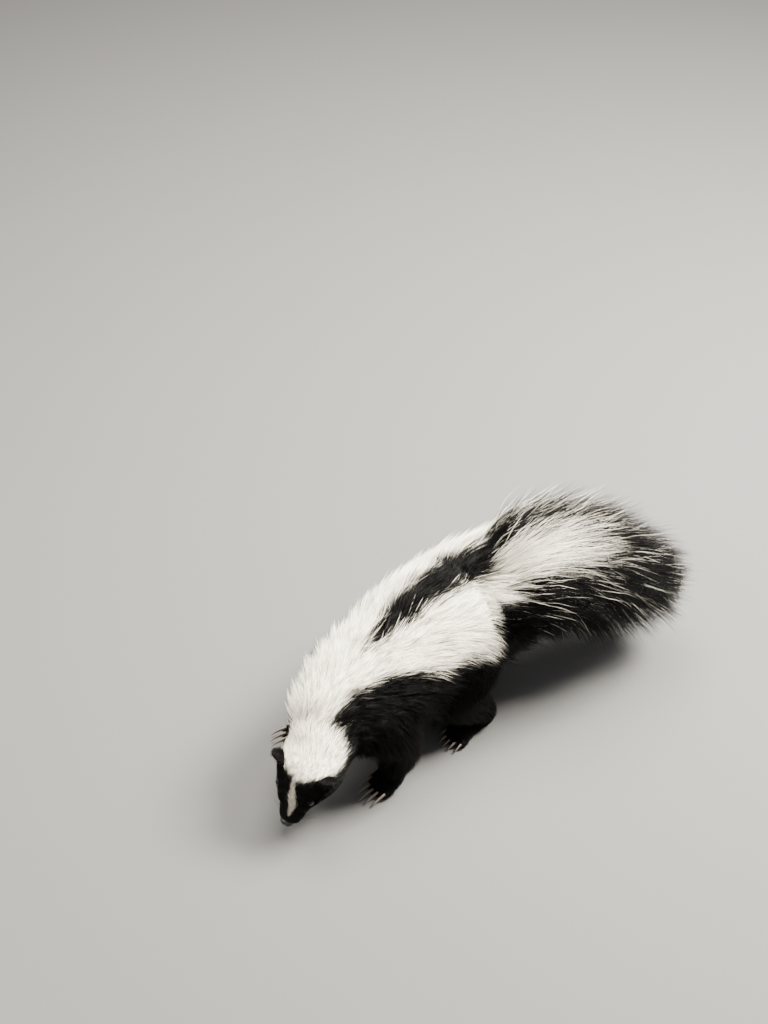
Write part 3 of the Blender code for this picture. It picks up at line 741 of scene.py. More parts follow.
WHITE_MARK = "white"
SHARE_MARK = "share"
SHADE_MARK = "shade"


@dataclass(frozen=True)
class FurFinish:
    """Hair that is dark or pale as the mesh's marks say, from root to tip, with painted shade at
    the pale roots.
    """

    dark_root: Colour = (0.0012, 0.0011, 0.0011, 1.0)
    dark_tip: Colour = (0.0030, 0.0027, 0.0026, 1.0)
    # The pale root colour is yellower than the tip, and darkened as painted shade of the hair
    # above it.
    pale_root_and_shade: Colour = (0.440, 0.370, 0.270, 1.0)
    pale_tip: Colour = (0.990, 0.940, 0.810, 1.0)
    root_shade_share: float = 0.5
    stain_scale: float = 26.0
    stain: Pair = (0.25, 0.75)
    stain_depth: float = 0.14
    stain_least: float = 0.88
    uneven_pale: float = 0.36
    uneven_dark: float = 0.4
    lightest: float = 1.03
    evened: float = 0.75
    roughness: float = 0.38
    rougher_pale: float = 0.26
    rougher_some: float = 0.16
    glint: float = 0.09

    def build(self, name: str) -> Material:
        """The material for tufts.

        Args:
            name: the material's name.

        Returns:
            The material.
        """
        graph = Graph(name)
        share = graph.attribute(SHARE_MARK)
        shade = graph.attribute(SHADE_MARK)
        white = graph.attribute(WHITE_MARK)
        dark = graph.mixed(share, self.dark_root, self.dark_tip)
        # Painted shade: the pale hair darkens from its tip towards its root.
        tips = share.between(0.0, self.root_shade_share)
        pale = graph.mixed(tips, self.pale_root_and_shade, self.pale_tip)
        colour = graph.mixed(white, dark, pale)
        patches = graph.noise(self.stain_scale).between(*self.stain)
        stain = patches * self.stain_depth + self.stain_least
        fade = (1 - white) * self.uneven_dark + self.uneven_pale
        tone = shade * fade + (self.lightest - fade * self.evened)
        colour = graph.scaled(colour, tone * stain)
        rough = self.roughness + white * self.rougher_pale + (shade - 0.5) * self.rougher_some
        return graph.finish(
            {"Base Color": colour, "Roughness": rough, "Specular IOR Level": self.glint}
        )


@dataclass(frozen=True)
class SkinFinish:
    """Skin under the coat with fine short down, marked as the coat is; its pale colour is darkened
    as painted shade.
    """

    dark: Colour = (0.0026, 0.0023, 0.0022, 1.0)
    # Painted shade: the skin under the white coat is darkened so that the gaps between the hairs
    # look shaded.
    pale: Colour = (0.360, 0.320, 0.265, 1.0)
    down_scale: float = 1400.0
    down_detail: float = 4.0
    down_shade: float = 0.5
    cloud_scale: float = 60.0
    cloud_shade: float = 0.4
    least_shade: float = 0.5
    roughness: float = 0.62
    uneven: float = 0.2
    glint: float = 0.08
    bump: float = 0.5
    depth: float = 0.0006

    def build(self, name: str) -> Material:
        """The material for the skin.

        Args:
            name: the material's name.

        Returns:
            The material.
        """
        graph = Graph(name)
        white = graph.attribute(WHITE_MARK)
        down = graph.noise(self.down_scale, self.down_detail)
        cloud = graph.noise(self.cloud_scale)
        colour = graph.mixed(white, self.dark, self.pale)
        tone = down * self.down_shade + cloud * self.cloud_shade + self.least_shade
        return graph.finish(
            {
                "Base Color": graph.scaled(colour, tone),
                "Roughness": down * self.uneven + self.roughness,
                "Specular IOR Level": self.glint,
                "Normal": graph.bumped(down, self.bump, self.depth),
            }
        )


@dataclass(frozen=True)
class BareFinish:
    """Bare, pebbled or grooved skin such as the nose and the pads."""

    low: Colour
    high: Colour
    roughness: float
    grain: float
    depth: float
    wet: float = 0.0
    wet_roughness: float = 0.12
    pebble_share: float = 0.6
    cloud_share: float = 0.5
    cloud_scale: float = 0.2
    uneven: float = 0.2
    bump: float = 0.7

    def build(self, name: str) -> Material:
        """The material for a bare part.

        Args:
            name: the material's name.

        Returns:
            The material.
        """
        graph = Graph(name)
        inputs = {"Vector": graph.places(), "Scale": self.grain}
        pebble = graph.value("ShaderNodeTexVoronoi", {}, inputs, "Distance")
        cloud = graph.noise(self.grain * self.cloud_scale)
        share = pebble * self.pebble_share + cloud * self.cloud_share
        return graph.finish(
            {
                "Base Color": graph.mixed(share, self.low, self.high),
                "Roughness": cloud * self.uneven + self.roughness,
                "Normal": graph.bumped(pebble, self.bump, self.depth),
                "Coat Weight": self.wet,
                "Coat Roughness": self.wet_roughness,
            }
        )


@dataclass(frozen=True)
class EyeFinish:
    """A wet, nearly black eye with a brown iris."""

    iris: Colour = (0.030, 0.014, 0.007, 1.0)
    pupil: Colour = (0.0012, 0.0010, 0.0010, 1.0)
    pupil_edge: Pair = (0.16, 0.30)
    fleck_scale: float = 3000.0
    flecks: Pair = (0.3, 0.8)
    roughness: float = 0.06
    uneven: float = 0.05
    wet: float = 0.45
    wet_roughness: float = 0.03
    glint: float = 0.25

    def build(self, name: str) -> Material:
        """The material for the eyeballs.

        Args:
            name: the material's name.

        Returns:
            The material.
        """
        graph = Graph(name)
        ring = graph.attribute(SHARE_MARK).between(*self.pupil_edge)
        flecks = graph.noise(self.fleck_scale).between(*self.flecks)
        iris = graph.mixed(flecks, self.pupil, self.iris)
        return graph.finish(
            {
                "Base Color": graph.mixed(ring, self.pupil, iris),
                "Roughness": flecks * self.uneven + self.roughness,
                "Coat Weight": self.wet,
                "Coat Roughness": self.wet_roughness,
                "Specular IOR Level": self.glint,
            }
        )


@dataclass(frozen=True)
class PawKind:
    """Pads as forward, inward, up and three radii from the middle of the foot, toes and claws."""

    pads: tuple
    toe_reach: float
    toe_pitch: float
    toe_lag: float
    thumb_lag: float
    toe_radii: Triple
    claw_length: float
    claw_height: float
    claw_width: float


FOREPAW = PawKind(
    pads=(
        (0.000, 0.000, 0.0085, (0.0170, 0.0140, 0.0100)),
        (-0.006, 0.000, 0.0120, (0.0130, 0.0125, 0.0110)),
    ),
    toe_reach=0.0150, toe_pitch=0.0062, toe_lag=0.0012, thumb_lag=0.0040,
    toe_radii=(0.0090, 0.0036, 0.0048),
    claw_length=0.0190, claw_height=0.0062, claw_width=0.0032,
)
HINDPAW = PawKind(
    pads=(
        (-0.0200, 0.000, 0.0095, (0.0130, 0.0110, 0.0105)),
        (-0.0050, 0.001, 0.0075, (0.0230, 0.0120, 0.0085)),
        (0.0080, 0.001, 0.0075, (0.0130, 0.0145, 0.0085)),
    ),
    toe_reach=0.0210, toe_pitch=0.0060, toe_lag=0.0011, thumb_lag=0.0040,
    toe_radii=(0.0080, 0.0035, 0.0045),
    claw_length=0.0115, claw_height=0.0055, claw_width=0.0030,
)


@dataclass(frozen=True)
class Paw:
    """One foot flat on the floor."""

    name: str
    kind: PawKind
    centre: Pair
    yaw: float
    inner: int
    toe_height: float = 0.85
    toe_flesh: float = 0.6

    def axes(self) -> Axes:
        """The foot's own directions.

        Returns:
            Forward, left and up.
        """
        turn = math.radians(self.yaw)
        forward = np.array((math.cos(turn), math.sin(turn), 0.0))
        left = np.array((-math.sin(turn), math.cos(turn), 0.0))
        return Axes(forward, left, np.array((0.0, 0.0, 1.0)))

    def place(self, forward: float, left: float, up: float) -> Array:
        """A place given along the foot's own axes."""
        axes, middle = self.axes(), np.array((*self.centre, 0.0))
        return middle + axes.along * forward + axes.left * left + axes.up * up

    def toes(self) -> list[Pair]:
        """Where the toes are.

        Returns:
            For each toe its sideways offset and how far it lags behind the longest.
        """
        made = []
        for k in (-2, -1, 0, 1, 2):
            thumb = self.kind.thumb_lag if k * self.inner == 2 else 0.0
            made.append((k * self.kind.toe_pitch, self.kind.toe_lag * k * k + thumb))
        return made

    def flesh(self, thinner: float) -> list[Object]:
        """Palm, heel and toes as soft balls.

        Args:
            thinner: how much smaller than the hair's surface the flesh is.

        Returns:
            The balls.
        """
        axes = self.axes()
        made = []
        for forward, left, up, radii in self.kind.pads:
            centre = self.place(forward, left * self.inner, up)
            size = tuple(radius - thinner for radius in radii)
            made.append(MeshKit.ball("pad", centre, size, axes))
        size = tuple(radius - thinner * self.toe_flesh for radius in self.kind.toe_radii)
        height = self.kind.toe_radii[2] * self.toe_height
        for offset, lag in self.toes():
            centre = self.place(self.kind.toe_reach - lag, offset, height)
            made.append(MeshKit.ball("toe", centre, size, axes, segments=16, rings=12))
        return made


PAWS = (
    Paw("front_left", FOREPAW, (0.0710, 0.0845), 6.0, -1),
    Paw("front_right", FOREPAW, (0.1100, -0.0150), -6.0, 1),
    Paw("hind_left", HINDPAW, (-0.0350, 0.0735), 8.0, -1),
    Paw("hind_right", HINDPAW, (-0.0590, -0.0670), -8.0, 1),
)


def raised(rows: Rows, shares: tuple[float, ...]) -> Rows:
    """Stations whose skin lies higher in the coat.

    Args:
        rows: the table of stations.
        shares: for each station the share of the coat's depth that the skin takes.

    Returns:
        The new table.
    """
    made = []
    for (*place, half, above, below, depth), share in zip(rows, shares):
        rise = depth * share
        made.append((*place, half + rise, above + rise, below + rise, depth - rise))
    return tuple(made)


def head_rows(plan: BodyPlan) -> Rows:
    """The head's stations in the body's axes."""
    return tuple((*head_point(row[0], 0.0, row[1]), *row[2:]) for row in plan.head)


HEAD_SHARES = (0.3, 0.5, 0.5, 0.5, 0.5, 0.4, 0.25, 0.1, 0.0, 0.0, 0.0)
LIMB_SHARES = (0.0, 0.0, 0.1, 0.25, 0.4, 0.5)
SIDEWAYS = np.array((0.0, 1.0, 0.0))
BELLY_COAT = 0.015
FLOW_HEAD = slice(0, 9)
FLOW_TRUNK = slice(2, 9)
FLOW_TAIL = slice(2, None)
FLOW_AS_HEAD = 8
RUMP_ROWS = millimetres(
    (-102, 6, 113, 42, 39, 44, 24),
    (-130, 15, 124, 38, 36, 38, 34),
)
LIMBS = {
    Area.FRONT_LEFT: PLAN.foreleg_left,
    Area.FRONT_RIGHT: PLAN.foreleg_right,
    Area.HIND_LEFT: PLAN.hindleg_left,
    Area.HIND_RIGHT: PLAN.hindleg_right,
}
TUBES = {
    Area.HEAD: Tube(Area.HEAD, raised(head_rows(PLAN), HEAD_SHARES), axes=HEAD_AXES),
    Area.TRUNK: Tube(Area.TRUNK, PLAN.trunk),
    Area.TAIL: Tube(Area.TAIL, PLAN.tail),
    **{area: Tube(area, raised(rows, LIMB_SHARES), SIDEWAYS) for area, rows in LIMBS.items()},
}


def flow_tube(plan: BodyPlan) -> Tube:
    """One tube from the nose over neck and rump to the tail's end, along which the hair lies.

    Args:
        plan: the body's measures.

    Returns:
        The tube.
    """
    head = raised(head_rows(plan), HEAD_SHARES)
    rows = (*head[FLOW_HEAD], *plan.trunk[FLOW_TRUNK], *RUMP_ROWS, *plan.tail[FLOW_TAIL])
    side = [HEAD_AXES.left] * FLOW_AS_HEAD + [None] * (len(rows) - FLOW_AS_HEAD)
    return Tube(Area.TRUNK, rows, hints=tuple(side))


FLOW = flow_tube(PLAN)


@dataclass
class Wave:
    """Soft noise between about -1 and 1, the same on every run."""

    scale: float
    seed: int
    terms: int = 7
    pitch: Pair = (0.6, 1.6)

    def at(self, points: Array) -> Array:
        """The noise at places.

        Args:
            points: the places.

        Returns:
            One number a place.
        """
        draw = np.random.default_rng(self.seed)
        total = np.zeros(len(points))
        for _ in range(self.terms):
            way = unit(draw.normal(size=3)) * draw.uniform(*self.pitch)
            way = way * 2 * math.pi / self.scale
            total += np.sin(points @ way + draw.uniform(0, 2 * math.pi))
        return total / math.sqrt(self.terms)


@dataclass(frozen=True)
class Markings:
    """Where the coat is white. Angles are in degrees from the middle of the back.

    Each table runs over the stations of the tube that it belongs to. A soft value is half the
    width of an edge, and strays are how far single hairs leave their mark.
    """

    cap_side: tuple = (
        (4.9, -12), (5.15, 16), (5.6, 36), (6.2, 60), (7, 74),
        (7.5, 74), (8.1, 58), (8.7, 42), (9.3, 35), (10, 32),
    )
    cap_middle: float = -5
    blaze_half: tuple = (
        (1.3, -0.001), (1.6, 0.0008), (2.2, 0.0022), (3, 0.0038), (3.8, 0.0032),
        (4.7, 0.0018), (5.2, 0.0016), (6, 0.0016),
    )
    blaze_middle: tuple = ((1.5, 0.0015), (3, 0.0015), (4.2, -0.0005), (5.2, -0.0045))
    back_middle: tuple = (
        (0, -18), (2.4, -18), (3.2, -12), (4, -5), (4.6, -2),
        (5.2, -1), (5.8, -2), (6.4, -4), (7, -3), (8, 0),
    )
    outer: tuple = (
        (0, 38), (1, 37), (2, 38), (2.6, 36), (3.2, 35),
        (3.8, 38), (4.9, 54), (6, 69), (6.7, 84), (7, 82),
        (7.35, 56), (8, 46), (9, 40), (10, 38),
    )
    inner: tuple = (
        (3.5, 0), (4.3, 6), (5.2, 14), (6.2, 16), (7, 18), (8, 18),
        (8.8, 15), (10, 14),
    )
    fork: float = 3.75
    tail_inner: tuple = ((0, 12), (0.8, 13), (1.6, 13), (3, 12))
    tail_outer: tuple = ((0, 50), (1, 54), (2, 54), (3, 50))
    tail_far_inner: tuple = ((0, 34), (0.5, 42), (0.9, 75), (3, 95))
    tail_end: float = 1.25
    mixed: float = 9.0
    mixed_along: float = 0.35
    far_wider: tuple = ((0, 16), (3, 14), (4.5, 0), (10, 0))
    # Painted shade: the blaze's white is held below full so that it looks shaded.
    blaze_painted_shade: float = 0.82
    ragged_scale: float = 0.012
    ragged_seed: int = 5
    ragged: float = 1.8
    strays: float = 3.0
    soft: float = 4.0
    cap_strays: float = 0.10
    blaze_strays: float = 0.0014
    blaze_soft: float = 0.0006
    far_full: float = -20.0
    fork_soft: float = 0.1
    inner_soft: float = 3.0
    tail_far_wider: float = 20.0
    tail_inner_soft: float = 5.0
    tail_outer_soft: float = 7.0
    tail_end_soft: float = 0.6

    def white(self, area: Area, at: Array, turn: Array, points: Array, jitter: Array) -> Array:
        """How white the coat is at its roots.

        Args:
            area: whose tube the places are on.
            at: stations.
            turn: angles in radians.
            points: the places themselves, for the ragged edge of the marks.
            jitter: one number a place, about 0, that mixes hairs at an edge.

        Returns:
            0 for black to 1 for white.
        """
        ragged = Wave(self.ragged_scale, self.ragged_seed).at(points) * self.ragged
        ragged = ragged + jitter * self.strays
        angle = np.degrees(turn)
        if area is Area.HEAD:
            away = np.abs(angle - self.cap_middle) + ragged
            edge = self.along(self.cap_side, at + jitter * self.cap_strays)
            cap = self.within(edge, self.soft, away)
            wide = TUBES[area].blend(TUBES[area].sizes, at)[:, 0]
            middle = self.along(self.blaze_middle, at)
            side = np.abs(np.sin(turn) * wide - middle) + jitter * self.blaze_strays
            half = self.along(self.blaze_half, at)
            streak = self.within(half, self.blaze_soft, side) * (np.cos(turn) > 0)
            # The blaze is greyed by its painted shade factor.
            return np.maximum(cap, streak * self.blaze_painted_shade)
        if area is Area.TRUNK:
            away = np.abs(angle - self.along(self.back_middle, at)) + ragged
            outer = self.along(self.outer, at + jitter * self.mixed_along)
            outer = outer + self.along(self.far_wider, at) * ease(0.0, self.far_full, angle)
            inner = self.along(self.inner, at) + jitter * self.mixed
            ahead = at + jitter * self.fork_soft
            fork = ease(self.fork - self.fork_soft, self.fork + self.fork_soft, ahead)
            dark = self.within(inner, self.inner_soft, away) * fork
            return self.within(outer, self.soft, away) * (1 - dark)
        if area is Area.TAIL:
            away = np.abs(angle) + ragged
            near, far = self.along(self.tail_inner, at), self.along(self.tail_far_inner, at)
            inner = np.where(angle > 0, near, far)
            wider = np.where(angle > 0, 0.0, self.tail_far_wider)
            outer = self.along(self.tail_outer, at) + wider
            soft = self.tail_inner_soft
            side = ease(inner - soft, inner + soft, away)
            side = side * self.within(outer, self.tail_outer_soft, away)
            return side * self.within(self.tail_end, self.tail_end_soft, at)
        return np.zeros(len(at))

    @staticmethod
    def along(table: tuple, at: Array) -> Array:
        """Values of a table at stations."""
        return np.interp(at, *zip(*table))

    @staticmethod
    def within(edge: Array | float, soft: float, value: Array) -> Array:
        """1 where a value is less than an edge, 0 beyond it."""
        return ease(edge + soft, edge - soft, value)


MARKS = Markings()


@dataclass
class Eye:
    """An eyeball and the shape of the lids round it.

    Where the lids lie is given by the distance from the middle of the slit, 1 on its rim.
    """

    side: int
    station: float = 3.95
    turn: float = 54.0
    radius: float = 0.0045
    depth: float = 0.0034
    forward: float = 0.45
    slant: float = 0.15
    lid: float = 0.0009
    opening: Pair = (0.0040, 0.0029)
    hollow: float = 0.0009
    rim_share: float = 0.35
    rim: Pair = (0.86, 1.02)
    fold: float = 1.30
    crease: float = 1.62
    crease_half: float = 0.16
    crease_depth: float = 0.7
    lower_crease: float = 0.5
    reach: Pair = (2.3, 1.45)
    bare_rim: float = 1.22
    near: float = 2.6
    pupil_share: float = 0.5

    def __post_init__(self) -> None:
        """Finds the eye's middle and the directions it looks and slants."""
        rows = head_rows(PLAN)
        outer = Tube(Area.HEAD, raised(rows, (1.0,) * len(rows)), axes=HEAD_AXES)
        turn = np.array([math.radians(self.turn) * self.side])
        surface, out = outer.outward(np.array([self.station]), turn)
        self.centre = surface - out * self.depth
        look = unit(out - HEAD_AXES.along * self.forward)
        ahead = unit(-HEAD_AXES.along - look * np.dot(look, -HEAD_AXES.along))
        slanted = unit(ahead - HEAD_AXES.up * self.slant)
        across = unit(np.cross(look, slanted))
        self.axes = Axes(look, np.cross(across, look), across)

    def ball(self) -> Object:
        """The eyeball with the distance from its pupil's middle stored on it.

        Returns:
            The object.
        """
        name = "eyeball_left" if self.side > 0 else "eyeball_right"
        size = (self.radius,) * 3
        obj = MeshKit.ball(name, self.centre, size, self.axes, segments=32, rings=24)
        near = MeshKit.places(obj) - self.centre
        off = np.linalg.norm(near - dot(near, self.axes.along) * self.axes.along, axis=1)
        front = near @ self.axes.along > 0
        share = np.where(front, off / self.radius * self.pupil_share, 1.0)
        MeshKit.mark(obj, SHARE_MARK, share)
        return obj

    def ring(self, points: Array) -> tuple[Array, Array]:
        """How places lie about the opening of the lids.

        Args:
            points: places on the head.

        Returns:
            Distance from the middle of the opening, 1 on its rim, and whether in front.
        """
        near = points - self.centre
        wide = near @ self.axes.left / self.opening[0]
        high = near @ self.axes.up / self.opening[1]
        close = np.linalg.norm(near, axis=1) < self.radius * self.near
        return np.hypot(wide, high), (near @ self.axes.along > 0) & close

    def shape(self, points: Array) -> Array:
        """Lays the skin over the eyeball as two lids with a slit between them.

        Args:
            points: places of the skin's vertices.

        Returns:
            The places moved.
        """
        ring, front = self.ring(points)
        near = points - self.centre
        far = np.linalg.norm(near, axis=1)
        inside = self.radius - self.hollow
        rim = self.radius + self.lid * self.rim_share
        fold = self.radius + self.lid
        wanted = inside + (rim - inside) * ease(*self.rim, ring)
        wanted = wanted + (fold - rim) * ease(self.rim[1], self.fold, ring)
        crease = np.exp(-(((ring - self.crease) / self.crease_half) ** 2))
        crease = crease * self.lid * self.crease_depth
        upper = near @ self.axes.up * self.upward() > 0
        wanted = wanted - np.where(upper, crease, crease * self.lower_crease)
        pull = ease(*self.reach, ring) * front
        scale = 1 + (wanted / np.maximum(far, 1e-6) - 1) * pull
        return self.centre + near * scale[:, None]

    def upward(self) -> float:
        """1 where the lids' across direction points to the brow, else -1."""
        return 1.0 if np.dot(self.axes.up, HEAD_AXES.up) > 0 else -1.0

    def bare(self, points: Array) -> Array:
        """Where no hair grows, on the ball's side of the lids and their rims."""
        ring, front = self.ring(points)
        return front & (ring < self.bare_rim)


@dataclass
class Mouth:
    """The line of the closed mouth, from corner to corner round the front."""

    front: float = 0.75
    corner: float = 3.45
    open: float = 66.0
    groove: float = 0.0011
    groove_half: float = 0.00055
    lip: float = 0.0007
    lip_half: float = 0.0016
    steps: int = 160
    back: float = 1.5
    round_front: float = 2.2
    near: float = 0.04

    def line(self) -> Array:
        """The line on the skin.

        Returns:
            Places from the right corner to the left one.
        """
        shares = np.linspace(-1, 1, self.steps)
        away = np.abs(shares)
        at = self.front + (self.corner - self.front) * away**self.back
        swing = np.sin(np.minimum(1.0, away * self.round_front) * math.pi / 2)
        turn = np.copysign(math.pi - math.radians(self.open) * swing, shares)
        return TUBES[Area.HEAD].points(at, turn, np.zeros(self.steps))

    def distance(self, points: Array) -> Array:
        """How far places are from the line.

        Args:
            points: the places.

        Returns:
            One distance a place, 1 where it is far off.
        """
        line = self.line()
        found = np.full(len(points), 1.0)
        close = np.linalg.norm(points - line.mean(axis=0), axis=1) < self.near
        near = points[close]
        found[close] = np.min(np.linalg.norm(near[:, None] - line[None], axis=2), axis=1)
        return found

    def shape(self, points: Array, normals: Array) -> Array:
        """Presses the line into the skin and swells the lips beside it.

        Args:
            points: places of the skin's vertices.
            normals: directions out of the skin.

        Returns:
            The places moved.
        """
        away = self.distance(points)
        dent = np.exp(-((away / self.groove_half) ** 2)) * self.groove
        swell = np.exp(-((away / self.lip_half) ** 2)) * self.lip
        return points + normals * (swell - dent)[:, None]


@dataclass
class Nose:
    """The bare pad at the tip of the muzzle with a comma of a nostril on each side."""

    centre: Triple = (0.0034, 0.0, 0.0012)
    radii: Triple = (0.0050, 0.0068, 0.0056)
    nostril: Triple = (-0.0004, 0.0036, 0.0008)
    nostril_radii: Pair = (0.0015, 0.0023)
    slit: Pair = (0.0016, -0.0024)
    depth: float = 0.0026
    cleft: float = 0.0005
    cleft_half: float = 0.0006
    face: Pair = (0.0040, 0.0022)
    pit_edge: Pair = (1.0, 0.55)
    slit_radii: Pair = (0.0016, 0.0008)
    slit_rise: float = 0.35
    slit_edge: Pair = (1.0, 0.4)
    slit_depth: float = 0.0012
    wing: Triple = (1.25, 0.28, 0.0004)

    def build(self) -> Object:
        """The pad as one closed mesh.

        Returns:
            The object.
        """
        middle = head_point(*self.centre)
        obj = MeshKit.ball("nose_pad", middle, self.radii, HEAD_AXES, segments=72, rings=56)
        points = MeshKit.places(obj)
        near = points - np.array(PLAN.nose_tip)
        back = near @ HEAD_AXES.along
        left = near @ HEAD_AXES.left
        up = near @ HEAD_AXES.up
        front = ease(*self.face, back)
        side = np.abs(left)
        pit = np.hypot(
            (side - self.nostril[1]) / self.nostril_radii[1],
            (up - self.nostril[2]) / self.nostril_radii[0],
        )
        curl = np.hypot(
            (side - self.nostril[1] - self.slit[0]) / self.slit_radii[0],
            (up - self.nostril[2] - self.slit[1] * self.slit_rise) / self.slit_radii[1],
        )
        inward = np.maximum(
            ease(*self.pit_edge, pit) * self.depth, ease(*self.slit_edge, curl) * self.slit_depth
        )
        inward = inward + np.exp(-((left / self.cleft_half) ** 2)) * self.cleft
        away, half, swell = self.wing
        wing = np.exp(-(((pit - away) / half) ** 2)) * swell
        moved = points + HEAD_AXES.along * ((inward - wing) * front)[:, None]
        MeshKit.put_places(obj, moved)
        return obj


@dataclass
class Ear:
    """A short round cup of an ear, open forwards and outwards."""

    side: int
    turn: float = 50.0
    back: float = 0.0620
    reach: float = 0.0330
    radii: Triple = (0.0110, 0.0125, 0.0060)
    wall: float = 0.0014
    outward: float = 0.55
    lean: float = 0.12
    around: int = 40
    rings: int = 12
    shares: Pair = (0.06, 1.0)
    inside: float = 0.86
    shallow: float = 0.985
    folds: int = 3
    fold_start: float = 0.6
    fold_depth: float = 0.12

    def __post_init__(self) -> None:
        """Finds the middle of the cup and its directions."""
        turn = math.radians(self.turn) * self.side
        flat, high = math.sin(turn), math.cos(turn)
        up = unit(HEAD_AXES.up * high + HEAD_AXES.left * flat + HEAD_AXES.along * self.lean)
        face = unit(-HEAD_AXES.along + HEAD_AXES.left * self.side * self.outward)
        face = unit(face - up * np.dot(face, up))
        self.axes = Axes(face, np.cross(face, up), up)
        self.centre = head_point(self.back, flat * self.reach, high * self.reach)

    def build(self) -> Object:
        """The cup as one closed mesh.

        Returns:
            The object.
        """
        turns = circle(self.around)
        wide, tall, deep = self.radii
        loops = []
        for inner in (False, True):
            shares = np.linspace(*self.shares, self.rings)
            for share in shares[::-1] if inner else shares:
                fit = self.inside if inner else 1.0
                sunk = (deep - self.wall * inner) * math.sqrt(1 - (share * self.shallow) ** 2)
                wave = np.sin(turns * self.folds + self.fold_start)
                fold = self.fold_depth * wave * share * (1 - share) if inner else 0
                ring = (
                    self.centre
                    + np.outer(np.cos(turns) * wide * share * fit, self.axes.left)
                    + np.outer(np.sin(turns) * tall * share * fit, self.axes.up)
                    + np.outer(-sunk + fold * deep + np.zeros(self.around), self.axes.along)
                )
                loops.append(ring)
        name = "ear_cup_left" if self.side > 0 else "ear_cup_right"
        obj = MeshKit.lofted(name, loops)
        MeshKit.mark(obj, WHITE_MARK, np.zeros(len(obj.data.vertices)))
        return obj


EYES = (Eye(1), Eye(-1))
MOUTH = Mouth()
EARS = (Ear(1), Ear(-1))


@dataclass
class Skin:
    """The skin of the whole animal, without a seam, inside the coat."""

    voxel: float = 0.0016
    passes: int = 6
    thinner: float = 0.0008
    whisker_pad: tuple = (0.0130, 0.0062, -0.0020, (0.0100, 0.0060, 0.0062))
    brow: tuple = (0.0330, 0.0110, 0.0118, (0.0120, 0.0062, 0.0050))
    cheek: tuple = (0.0560, 0.0150, -0.0070, (0.0180, 0.0120, 0.0110))
    chin: tuple = (0.0170, 0.0, -0.0085, (0.0105, 0.0065, 0.0050))
    lid_share: float = 0.8
    around: int = 36
    steps: int = 6
    softness: float = 0.5
    finer_near: float = 0.0105
    finer_mouth: tuple[float, ...] = (0.7, 0.45)
    floor: float = 0.0004

    def swells(self) -> list[Object]:
        """Whisker pads, brows, cheeks, chin and the flesh under the lids.

        Returns:
            The balls.
        """
        made = []
        for back, left, up, radii in (self.whisker_pad, self.brow, self.cheek, self.chin):
            for side in {1, 1 if left == 0 else -1}:
                centre = head_point(back, left * side, up)
                made.append(MeshKit.ball("swell", centre, radii, HEAD_AXES))
        for eye in EYES:
            size = (eye.radius + eye.lid * self.lid_share,) * 3
            made.append(MeshKit.ball("lid", eye.centre, size, eye.axes))
        return made

    def build(self) -> Object:
        """The finished skin.

        Returns:
            The object.
        """
        pieces = self.swells()
        for tube in TUBES.values():
            rings = tube.rings(self.around, self.steps)
            pieces.append(MeshKit.lofted(tube.area.value, rings))
        for paw in PAWS:
            pieces.extend(paw.flesh(self.thinner))
        bm = bmesh.new()
        for piece in pieces:
            bm.from_mesh(piece.data)
            bpy.data.objects.remove(piece)
        mesh = bpy.data.meshes.new("skin")
        bm.to_mesh(mesh)
        bm.free()
        skin = linked("skin", mesh)
        grown = skin.modifiers.new("grown", "REMESH")
        grown.mode = "VOXEL"
        grown.voxel_size = self.voxel
        soften = skin.modifiers.new("soften", "SMOOTH")
        soften.factor = self.softness
        soften.iterations = self.passes
        MeshKit.settle(skin)
        self.refine(skin)
        points = MOUTH.shape(MeshKit.places(skin), self.normals(skin))
        for eye in EYES:
            points = eye.shape(points)
        points[:, 2] = np.maximum(points[:, 2], self.floor)
        MeshKit.put_places(skin, points)
        skin.data.shade_smooth()
        return skin

    def refine(self, skin: Object) -> None:
        """Makes the skin finer round the eyes and the mouth, where each edge is halved twice.

        Args:
            skin: the skin's object.
        """
        for share in self.finer_mouth:
            bm = bmesh.new()
            bm.from_mesh(skin.data)
            points = np.array([v.co for v in bm.verts])
            near = MOUTH.distance(points) < self.finer_near * share
            for eye in EYES:
                near |= np.linalg.norm(points - eye.centre, axis=1) < self.finer_near
            bm.verts.ensure_lookup_table()
            edges = {e for i in np.flatnonzero(near) for e in bm.verts[int(i)].link_edges}
            bmesh.ops.subdivide_edges(bm, edges=list(edges), cuts=1, use_grid_fill=True)
            bm.to_mesh(skin.data)
            bm.free()
        bm = bmesh.new()
        bm.from_mesh(skin.data)
        wide = [face for face in bm.faces if len(face.verts) > 4]
        bmesh.ops.triangulate(bm, faces=wide)
        bm.to_mesh(skin.data)
        bm.free()

    @staticmethod
    def normals(skin: Object) -> Array:
        """The directions out of a mesh at its vertices.

        Args:
            skin: the mesh's object.

        Returns:
            One direction a row.
        """
        found = np.empty(len(skin.data.vertices) * 3, dtype=np.float32)
        skin.data.vertex_normals.foreach_get("vector", found)
        return found.reshape(-1, 3).astype(float)


